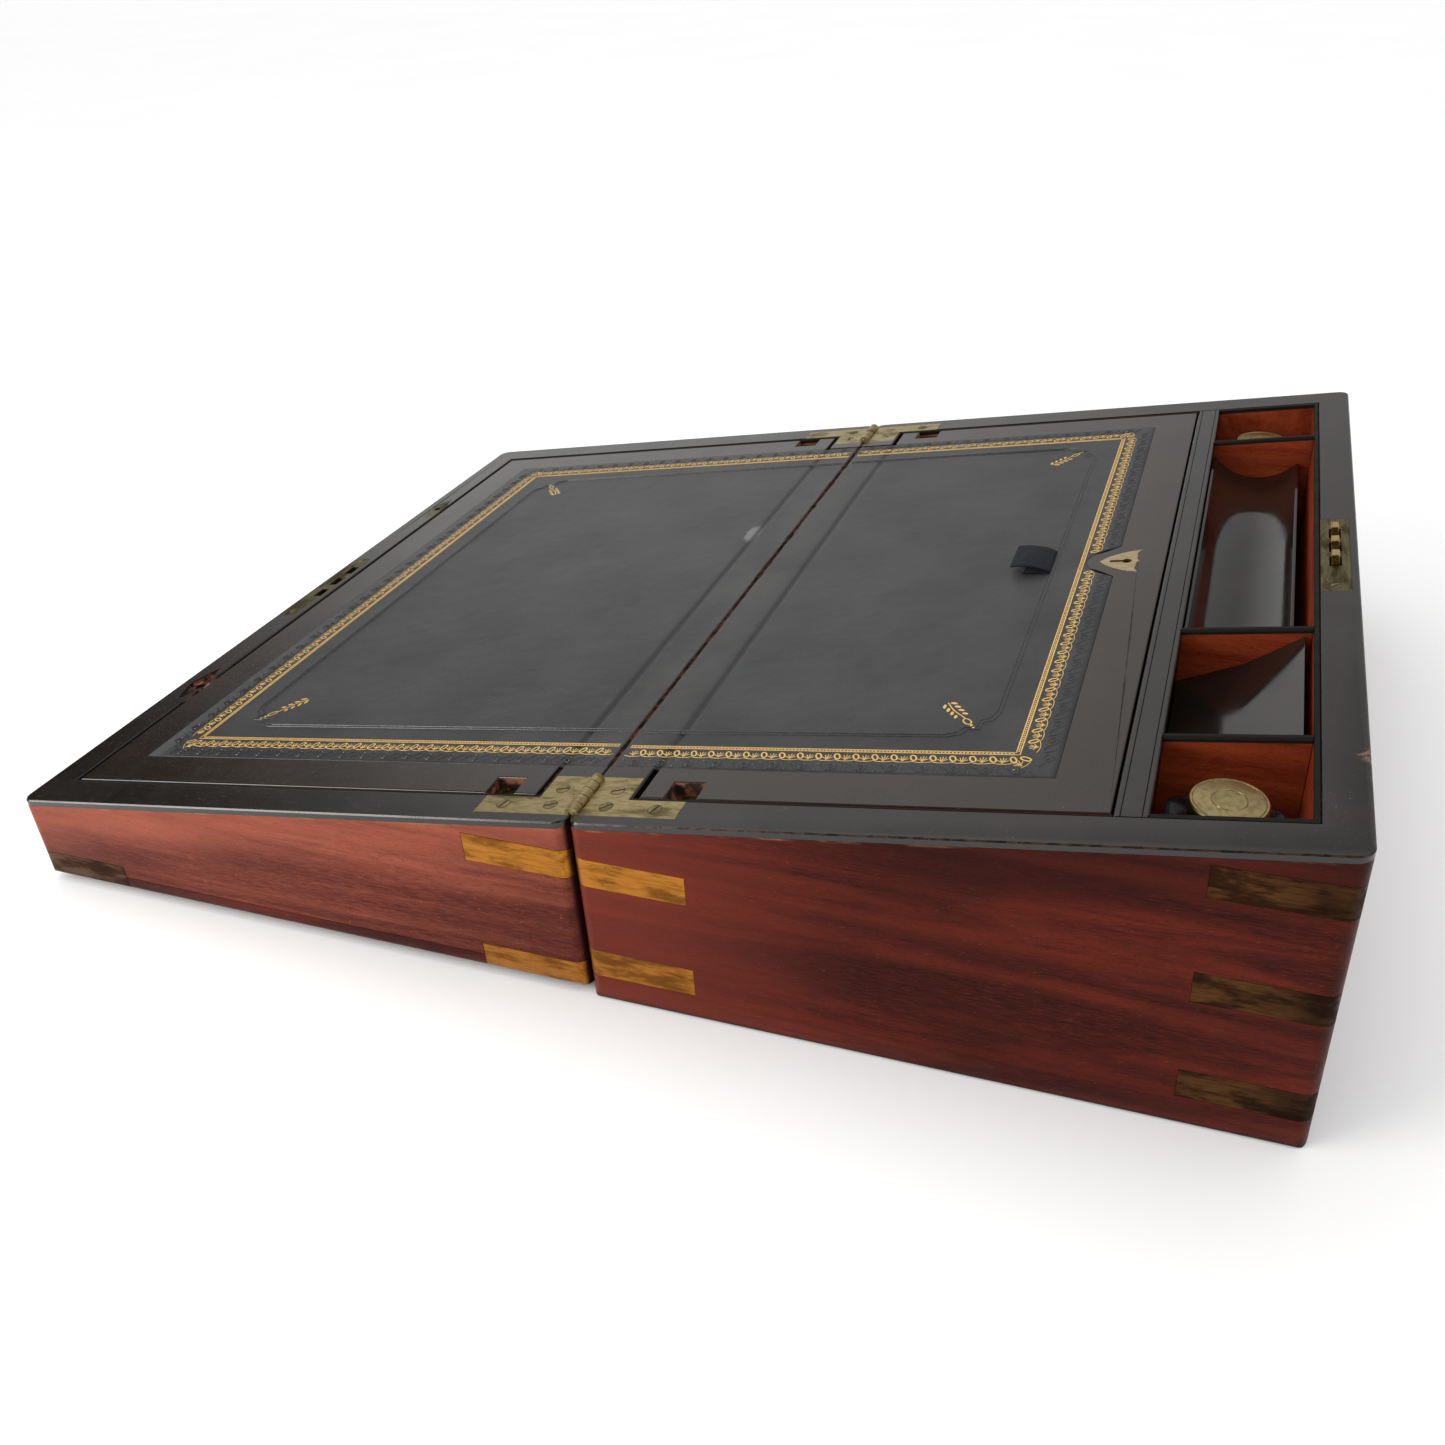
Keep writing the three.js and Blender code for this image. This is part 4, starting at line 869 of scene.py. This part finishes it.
def tooling(half, way, end_of, s_inner, y_inner):
    """Gilt and blind tooling of one half."""
    def on_leather(s, y):
        return abs(s) < abs(end_of(y)) - 0.35 and abs(y) < LEATHER_HALF - 0.3 and abs(s) > 2.2

    level = LEATHER_TOP - 0.02
    gold = Ridges(0.42, 0.07, level)
    border = Border(way, s_inner, y_inner, 2.4)
    for v in GILT_LINES:
        gold.line(border.outline(v), width=0.5)
    bead_row(gold, border, BEAD_LINE, BEAD_PITCH, on_leather)
    for u, step, to_slope in border.repeat(MOTIF):
        gilt_motif(gold, to_slope, u, step, on_leather)
    for hand in (-1, 1):
        gilt_motif(gold, border.corner(hand), -MOTIF / 2, MOTIF, on_leather)
    for hand in (-1, 1):
        sprig(gold, way * (s_inner - SPRIG_INSET[0]), hand * (y_inner - SPRIG_INSET[1]), way, hand)
    pressed = Ridges(0.7, 0.2, level - 0.03)
    edge = Border(way, s_inner + SCROLL_LINE, y_inner + SCROLL_LINE, 3.0)
    for u, step, to_slope in edge.repeat(SCROLL_PITCH):
        scroll(pressed, to_slope, u, step, on_leather)
    s_ogee, y_ogee = s_inner - OGEE_INSET[0], y_inner - OGEE_INSET[1]
    for v in OGEE_LINES:
        pressed.line(ogee_frame(way, s_ogee, y_ogee, 2.4, v), width=0.45)
    made = []
    for lines, kind in ((gold, "gilt"), (pressed, "blind")):
        piece = lines.done(f"{half}_{kind}_tooling", MATERIALS[kind])
        made.append(piece)
    return made


def fold_with(piece):
    """Bakes the piece's placement into its mesh. The leather is glued to the rim and to the flap."""
    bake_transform(piece)


def leathers():
    """Both leathers with their tooling, and the torn leather over the hinge line."""
    for half, way, end_of, frame_line in (
        ("base", 1, base_leather_end, BASE_FRAME),
        ("lid", -1, lambda y: LID_LEATHER_END, LID_FRAME),
    ):
        sheet = leather_sheet(f"{half}_leather", way, end_of, MATERIALS["leather"])
        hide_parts(f"{half}_leather_strip", f"{half}_flap_leather")
        decoration = tooling(half, way, end_of, *frame_line)
        for piece in [sheet, *decoration]:
            fold_with(piece)
        if half == "base":
            decoration += torn_hinge()
        size = (abs(end_of(LEATHER_HALF)) * MM, 2 * LEATHER_HALF * MM)


# ---- the torn leather over the hinge line ----
TORN_HALF = 1.8
TORN_LEVEL = -0.85


def torn_strip():
    """What is left of the leather where it bends between the halves: a ragged strip of suede."""
    rows, columns = int(2 * LEATHER_HALF / 0.6), 10
    vertices, places = [], []
    for i in range(rows + 1):
        y = -LEATHER_HALF + 0.4 + (2 * LEATHER_HALF - 0.8) * i / rows
        left, right = (TORN_HALF + 0.45 * ripple(y * 0.8, seed, 0) for seed in (11.3, 5.9))
        for j in range(columns + 1):
            s = -left + (left + right) * j / columns
            fuzz = ripple(s * 1.6, y * 0.9, 2.2) + 0.6 * ripple(s * 4, y * 2.4, 8)
            places.append((s, y))
            vertices.append(point(s, y, TORN_LEVEL + 0.2 * fuzz))
    made = make("torn_hinge_leather", vertices, grid(rows, columns + 1), MATERIALS["suede"])
    flat_map(made, places)
    thicken(made, 0.3)
    return made


def loose_fibres():
    """Threads pulled out of the torn leather, lying along and across the hinge line."""
    picks = random.Random(17)
    fibres = Ridges(0.2, 0.14, TORN_LEVEL + 0.3)
    for _ in range(460):
        y = picks.uniform(-LEATHER_HALF + 4, LEATHER_HALF - 4)
        s = picks.gauss(0, 0.6)
        turn = picks.gauss(math.pi / 2, 0.5)
        length = picks.uniform(1.2, 4.5)
        bend = picks.uniform(-0.5, 0.5)
        path = []
        for k in range(5):
            t = k / 4 - 0.5
            u, v = t * length, bend * (0.25 - t * t) * 2
            ds = u * math.cos(turn) - v * math.sin(turn)
            dy = u * math.sin(turn) + v * math.cos(turn)
            path.append((s + ds, y + dy))
        if all(abs(p) < TORN_HALF + 0.4 for p, _ in path):
            fibres.line(path)
    return fibres.done("loose_hinge_fibres", MATERIALS["suede"])


def torn_hinge():
    """The torn leather over the hinge line: its ragged strip and loose fibres."""
    pieces = [torn_strip(), loose_fibres()]
    for piece in pieces:
        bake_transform(piece)
    return pieces


# ---- the ribbon pull tab ----
RIBBON_TURN = 0.45


def pull_tab():
    """A short ribbon doubled over: its fold is towards the escutcheon, its free end stands up."""
    low, high = on_slope("pull_tab")
    half = (high.y - low.y) / 2 - 0.3
    span = high.x - low.x - 0.6
    rows, columns = 40, 12
    vertices, places = [], []
    for i in range(rows + 1):
        t = i / rows
        over = (t - RIBBON_TURN) / (1 - RIBBON_TURN)
        if over < 0:
            u = t / RIBBON_TURN
            s, n = low.x + 0.3 + 5 + u * (span - 5), 0.15 + 0.25 * math.sin(u * math.pi)
        else:
            s = high.x - 0.3 - span * over
            n = 0.4 + 0.95 * math.sin(min(1, over * 4) * math.pi / 2)
            n += 2.3 * math.sin(over * math.pi * 0.62)
        for j in range(columns + 1):
            w = j / columns * 2 - 1
            crown = 0.35 * (1 - w * w) * math.sin(max(0, over) * math.pi)
            wave = 0.16 * ripple(s * 0.22, w * 2.2, 9) * min(1, n)
            frayed = 0.22 * ripple(t * 30, w * 9, 2) if i in (0, rows) else 0
            vertices.append(point(s + frayed, w * half, LEATHER_TOP + 0.1 + n + crown + wave))
            places.append((i, w * half))
    made = make("ribbon_tab", vertices, grid(rows, columns + 1), MATERIALS["ribbon"])
    flat_map(made, places)
    thicken(made, 0.35, offset=0)
    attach(made, "base_flap")
    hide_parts("pull_tab")
    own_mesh(made)


# ---- screws ----
ARC_POINTS = 15
HINGE_SCREWS = ((11, 10.6), (11, 20.4), (30, 10.1))
LOCK_SCREW_S, LOCK_SCREW_INSET = 246.5, 4.5
STRIKE_SCREW_S, STRIKE_SCREW_INSET = -248.5, 5


def screw(name, s, y, body, radius, turn, level=-0.15):
    """A slotted countersunk head: two half rounds either side of the slot, on a dark bed of dirt and
    painted shade.
    """
    slot, floor, top = 0.42, level + 0.02, level + 0.09
    section = ((radius, floor), (radius, floor + 0.05), (radius * 0.8, top), (radius * 0.45, top + 0.02))
    vertices, faces = [], []
    for hand in (-1, 1):
        edge = math.asin(slot / radius)
        sweep = (math.pi - 2 * edge) / (ARC_POINTS - 1)
        outer = [edge + sweep * i for i in range(ARC_POINTS)]
        rings = []
        for r, n in section:
            start = len(vertices)
            for a in outer:
                p, q = r * math.cos(a), max(slot, r * math.sin(a)) * hand
                place = (
                    s + p * math.cos(turn) - q * math.sin(turn),
                    y + p * math.sin(turn) + q * math.cos(turn),
                )
                vertices.append(point(*place, n))
            rings.append(range(start, start + ARC_POINTS))
        for inner, outer_ring in zip(rings[1:], rings):
            for i in range(ARC_POINTS):
                j = (i + 1) % ARC_POINTS
                quad = (outer_ring[i], outer_ring[j], inner[j], inner[i])
                faces.append(quad[::hand])
        faces += [tuple(rings[-1])[::hand], tuple(rings[0])[::-hand]]
    head = make(name, vertices, faces, MATERIALS["screw"], smooth=False)
    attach(head, body)
    # dark ring round the head: dirt and painted shade in the countersink
    bed = Ridges(0.5, 0.02, level)
    turns = [2 * math.pi * i / 28 for i in range(28)]
    rim = radius + 0.28
    bed.dab([(s + rim * math.cos(a), y + rim * math.sin(a)) for a in turns])
    dirt = bed.done(f"{name}_dirt", MATERIALS["grime_and_shade"])
    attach(dirt, body)


def screws():
    """The screws of the hinges, the box lock and the strike plate."""
    half = BASE_RIM_HIGH.y
    turns = random.Random(4)
    for side, hand in (("near", -1), ("far", 1)):
        for body, way in (("base", 1), ("lid", -1)):
            for index, (s, inset) in enumerate(HINGE_SCREWS):
                name = f"{body}_{side}_hinge_screw_{index + 1}"
                screw(name, way * s, hand * (half - inset), body, 2.35, turns.uniform(0, math.pi))
    low, high = on_slope("box_lock")
    for index, y in enumerate((low.y + LOCK_SCREW_INSET, high.y - LOCK_SCREW_INSET)):
        screw(f"lock_screw_{index + 1}", LOCK_SCREW_S, y, "base", 2.0, turns.uniform(0, math.pi))
    low, high = on_slope("strike_plate")
    for index, y in enumerate((low.y + STRIKE_SCREW_INSET, high.y - STRIKE_SCREW_INSET)):
        screw(f"strike_screw_{index + 1}", STRIKE_SCREW_S, y, "lid", 2.0, turns.uniform(0, math.pi))


# ---- small brass plates ----
def plate(name, outline, to_place, thickness, body, material, slot, corner=0.12):
    """A flat plate with eased edges; outline is a loop of (a, b), to_place(a, b, height) sets it down."""
    count = len(outline)
    centre = sum((Vector(p) for p in outline), Vector((0, 0))) / count
    rings = ((0, 0), (0, thickness - corner), (corner, thickness))
    vertices = []
    for inset, height in rings:
        for place in outline:
            away = Vector(place) - centre
            a, b = centre + away * (1 - inset / max(away.length, inset))
            vertices.append(to_place(a, b, height))
    faces = []
    for ring in range(len(rings) - 1):
        for i in range(count):
            j = (i + 1) % count
            a, b = ring * count, (ring + 1) * count
            faces.append((a + i, a + j, b + j, b + i))
    faces.append(tuple(range(len(vertices) - count, len(vertices))))
    faces.append(tuple(reversed(range(count))))
    made = make(name, vertices, faces, material, smooth=False)
    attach(made, body)


def rounded(half_a, half_b, radius, count=5):
    """A rectangle with round corners, as a loop about (0, 0)."""
    loop = []
    for quarter, (ka, kb) in enumerate(((1, 1), (-1, 1), (-1, -1), (1, -1))):
        for i in range(count):
            a = (quarter + i / (count - 1)) * math.pi / 2
            loop.append((
                ka * (half_a - radius) + radius * math.cos(a),
                kb * (half_b - radius) + radius * math.sin(a),
            ))
    return loop


NOTCH_MIDDLE, NOTCH_Y = 36.7, 177.9
NOTCH_HALF_LENGTH, NOTCH_HALF_WIDTH = 4.5, 4.2
BLOCK_FOOT, BLOCK_HEIGHT, PLATE_THICKNESS = -8.5, 2.0, 0.9
PLATE_FOOT = BLOCK_FOOT + BLOCK_HEIGHT


def notch_plates():
    """In each notch of a flap a brass plate stands on a block of the bearer."""
    for half, way in (("base", 1), ("lid", -1)):
        for side, hand in (("near", -1), ("far", 1)):
            def at(level, s=way * NOTCH_MIDDLE, y=hand * NOTCH_Y):
                return lambda a, b, height: point(s + a, y + b, level + height)
            name = f"{half}_{side}_notch"
            block = rounded(NOTCH_HALF_LENGTH, NOTCH_HALF_WIDTH, 0.3, 3)
            wood_block = (MATERIALS["raw"], "mahogany", 0.2)
            plate(f"{name}_block", block, at(BLOCK_FOOT), BLOCK_HEIGHT, half, *wood_block)
            face = rounded(NOTCH_HALF_LENGTH - 0.1, NOTCH_HALF_WIDTH - 0.1, 1.0)
            brass = (MATERIALS["lock"], "hinge_brass")
            plate(f"{name}_plate", face, at(PLATE_FOOT), PLATE_THICKNESS, half, *brass)
            level = PLATE_FOOT + PLATE_THICKNESS
            place = (way * NOTCH_MIDDLE, hand * NOTCH_Y)
            screw(f"{name}_screw", *place, half, 1.5, 0.7 * way * hand, level)


KEYHOLE_Y, KEYHOLE_Z = 2.25, 99.0
KEYHOLE_RADIUS, KEYHOLE_SLOT, KEYHOLE_HALF_WIDTH = 2.25, 6.6, 1.05
ESCUTCHEON_HALF_WIDTH, ESCUTCHEON_ABOVE, ESCUTCHEON_BELOW = 6.5, 8.5, 12.5
ESCUTCHEON_PROUD = 0.25


def keyhole_reach(a):
    """How far the keyhole's edge is from its eye, at angle a from straight down."""
    if math.cos(a) <= 0:
        return KEYHOLE_RADIUS
    slot = min(KEYHOLE_HALF_WIDTH / max(abs(math.sin(a)), 0.001), KEYHOLE_SLOT / math.cos(a))
    return max(KEYHOLE_RADIUS, slot)


def oval_reach(a):
    """How far the plate's edge is from the keyhole's eye, at angle a from straight down."""
    height = ESCUTCHEON_BELOW if math.cos(a) > 0 else ESCUTCHEON_ABOVE
    return 1 / math.hypot(math.sin(a) / ESCUTCHEON_HALF_WIDTH, math.cos(a) / height)


def front_escutcheon():
    """A small oval keyhole plate on the middle of the front board."""
    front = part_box("base_front_board")[1][0]
    count = 120
    proud = ESCUTCHEON_PROUD
    rings = (
        (keyhole_reach, 0, -0.5),
        (keyhole_reach, 0, proud),
        (oval_reach, -0.2, proud),
        (oval_reach, 0, -0.1),
    )
    vertices = []
    for reach, grow, out in rings:
        for i in range(count):
            a = 2 * math.pi * i / count
            r = reach(a) + grow
            y, z = KEYHOLE_Y + r * math.sin(a), KEYHOLE_Z - r * math.cos(a)
            vertices.append((front + out * MM, y * MM, z * MM))
    faces = []
    for ring in range(len(rings)):
        first, second = ring * count, (ring + 1) % len(rings) * count
        for i in range(count):
            j = (i + 1) % count
            faces.append((first + j, first + i, second + i, second + j))
    made = make("front_escutcheon", vertices, faces, MATERIALS["escutcheon"], smooth=False)
    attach(made, "base")


# ---- the floor, the lights and the surroundings ----
FLOOR_REACH = 40
SKY_TOWARDS = (0.75, 0.65, 0.0)
# each ramp: from and to along the sky's direction, then the brightness at each end
SKY_RAMPS = ((-0.24, 0.06, 0.03, 0.80), (0.25, 0.65, 0.0, -0.36))
LEFT_LIGHT_PLACE = (-1.1, -0.9, 0.5)
LEFT_LIGHT_TARGET = (0, 0, 0.08)


def add_light(name, kind, **settings):
    data = bpy.data.lights.new(name, kind)
    for setting, value in settings.items():
        setattr(data, setting, value)
    light = bpy.data.objects.new(name, data)
    bpy.context.scene.collection.objects.link(light)
    return light


def surroundings():
    """A plain grey world, brightest behind and to the right, as a window wall would be."""
    world = bpy.data.worlds.new("studio")
    world.use_nodes = True
    tree = world.node_tree
    coordinates = tree.nodes.new("ShaderNodeTexCoord")
    direction = tree.nodes.new("ShaderNodeVectorMath")
    direction.operation = "DOT_PRODUCT"
    direction.inputs[1].default_value = Vector(SKY_TOWARDS).normalized()
    tree.links.new(coordinates.outputs["Generated"], direction.inputs[0])
    total = tree.nodes.new("ShaderNodeMath")
    for ramp, share in zip(SKY_RAMPS, total.inputs):
        level = tree.nodes.new("ShaderNodeMapRange")
        level.interpolation_type = "SMOOTHSTEP"
        for socket, value in zip(level.inputs[1:5], ramp):
            socket.default_value = value
        tree.links.new(direction.outputs["Value"], level.inputs[0])
        tree.links.new(level.outputs[0], share)
    background = tree.nodes["Background"]
    background.inputs["Color"].default_value = (1, 1, 1, 1)
    tree.links.new(total.outputs[0], background.inputs["Strength"])
    bpy.context.scene.world = world


def studio():
    g = Graph("studio_floor", Specular_IOR_Level=0.1)
    g.set(Base_Color=g.mix(g.noise(300), (0.83, 0.83, 0.83), (0.87, 0.87, 0.87)), Roughness=0.9)
    corners = [(FLOOR_REACH * x, FLOOR_REACH * y, 0) for x, y in ((-1, -1), (1, -1), (1, 1), (-1, 1))]
    make("floor", corners, [(0, 1, 2, 3)], g.material)
    surroundings()
    overhead = add_light("overhead_light", "SUN", energy=2.6, angle=math.radians(100))
    overhead.rotation_euler = (math.radians(8), math.radians(-12), 0)
    overhead.visible_glossy = False
    left = add_light("left_light", "AREA", size=0.8, energy=16, color=(1.0, 0.98, 0.95))
    left.location = LEFT_LIGHT_PLACE
    left.rotation_mode = "QUATERNION"
    towards = Vector(LEFT_LIGHT_TARGET) - Vector(LEFT_LIGHT_PLACE)
    left.rotation_quaternion = towards.to_track_quat("-Z", "Y")
    bpy.context.scene.view_settings.view_transform = "Standard"


# ---- finishes of the CAD parts ----
MATERIALS = {}


def make_materials():
    sides = {"dark": MAHOGANY_DARK, "light": MAHOGANY_LIGHT}
    well = {"dark": WELL_DARK, "light": WELL_LIGHT, "gloss": 0.5}
    MATERIALS.update({
        # base side: painted light towards the hinge end, painted shade under the rim
        "base_side": wood(
            "base_side_mahogany", grain=ALONG_X, edge=top_edge, low=lower_edge_and_gap_shade, black=bead_top,
            pale=hinge_end_light, clear=under_rim_shade, **sides,
        ),
        # lid side: lit copy of the side mahogany, with a painted reflection towards the rim
        "lid_side": wood(
            "lid_side_mahogany_lit", LID_SIDE_LIT_DARK, LID_SIDE_LIT_LIGHT, ALONG_X,
            edge=top_edge, low=lid_lower_edge_and_gap_shade, black=bead_top, pale=lid_upper_reflection,
        ),
        "board": wood("end_mahogany", grain=ALONG_Y, edge=top_edge, low=lower_edge_and_gap_shade, **sides),
        "panel": wood("panel_mahogany", grain=ALONG_X, **sides),
        "well": wood("well_mahogany", grain=ALONG_Y, black=ebonised_lip, **well),
        "divider": wood("divider_mahogany", grain=ALONG_X, black=ebonised_lip, **well),
        # well floor: painted shade of the compartments
        "floor": wood("well_floor_painted_shade", WELL_FLOOR_SHADE_DARK, WELL_FLOOR_SHADE_LIGHT, ALONG_Y, gloss=0.55),
        "raw": wood("bare_wood", BARE_DARK, BARE_LIGHT, ALONG_X, gloss=0.6),
        "base_rim": black_polish("base_rim_polish", wear=outer_edge(BASE_RIM_HIGH.x, BASE_RIM_CHIP)),
        "lid_rim": black_polish("lid_rim_polish", wear=outer_edge(LID_RIM_LOW.x), raw=lost_plate),
        "base_flap": black_polish("base_flap_polish", raw=flap_notches(*BASE_NOTCHES), brown=0.35),
        "lid_flap": black_polish("lid_flap_polish", raw=lid_flap_raw, brown=0.2),
        "rail": black_polish("rail_polish", gloss=0.14),
        "gloss": black_polish("japanned", gloss=0.05, specular=0.55),
        # painted shade on the straps in the hinge gap
        "strap": metal(
            "strap_brass", (0.44, 0.175, 0.024), (0.20, 0.074, 0.012), 0.34, 0.6, painted_shade=hinge_gap_shade,
        ),
        # a darker, shaded copy of the strap brass, with more painted shade at the deep end
        "shaded_front_strap": metal(
            "front_strap_brass", (0.12, 0.050, 0.016), (0.035, 0.015, 0.007), 0.42, 0.7,
            painted_shade=front_painted_shade,
        ),
        "hinge": metal("hinge_brass", (0.50, 0.40, 0.19), (0.22, 0.165, 0.075), 0.34, 0.5, pits=0.7),
        "lock": metal(
            "lock_brass", (0.20, 0.165, 0.070), (0.085, 0.066, 0.026), 0.36, 0.6, ALONG_Y, pits=0.7,
        ),
        "hook": metal("hook_brass", (0.66, 0.45, 0.16), (0.30, 0.20, 0.07), 0.24, 0.4, ALONG_Y),
        "cap": metal("cap_brass", (0.54, 0.43, 0.20), (0.36, 0.28, 0.12), 0.28, 0.4, (3, 3, 1), pits=0.6),
        "escutcheon": metal("escutcheon_brass", (0.66, 0.51, 0.29), (0.40, 0.30, 0.16), 0.32, 0.4),
        "screw": metal("screw_brass", (0.44, 0.35, 0.165), (0.24, 0.18, 0.085), 0.38, 0.6, (2, 2, 1)),
        "iron": metal("lock_iron", (0.16, 0.15, 0.14), (0.07, 0.045, 0.03), 0.45, 0.6),
        "leather": leather(),
        "suede": suede(),
        "gilt": gilt(),
        "blind": blind_tooling(),
        "ribbon": ribbon(),
        "glass": glass(),
        "grime_and_shade": grime_and_shade(),
    })


# the CAD nodes that each material covers, apart from the corner straps
COVERS = {
    "base_side": "base_near_side base_far_side",
    "lid_side": "lid_near_side lid_far_side",
    "board": "base_front_board base_back_board lid_back_board lid_end_board",
    "panel": "base_bottom lid_panel",
    "well": "well_lining",
    "floor": "well_floor",
    "divider": "divider_near divider_middle divider_far",
    "base_rim": "base_rim",
    "lid_rim": "lid_rim",
    "base_flap": "base_flap",
    "lid_flap": "lid_flap",
    "rail": "cross_rail",
    "gloss": "pen_tray nib_ramp",
    "hinge": (
        "hinge_near_base_leaf hinge_near_lid_leaf hinge_near_pin "
        "hinge_far_base_leaf hinge_far_lid_leaf hinge_far_pin"
    ),
    "lock": "box_lock strike_plate socket_plate",
    "hook": "box_lock_bolt flap_lock_bolt",
    "cap": "ink_cap_near ink_cap_far",
    "escutcheon": "flap_escutcheon",
    "iron": "flap_lock",
    "glass": "ink_bottle_near ink_bottle_far",
}


def finish_nodes():
    for kind, names in COVERS.items():
        for name in names.split():
            finish_node(name, MATERIALS[kind])
    for name in NODES:
        if "_strap_" in name:
            kind = "shaded_front_strap" if "front" in name or "_end_" in name else "strap"
            finish_node(name, MATERIALS[kind], width=0.1)


make_camera()
studio()
make_materials()
finish_nodes()
leathers()
pull_tab()
screws()
notch_plates()
front_escutcheon()
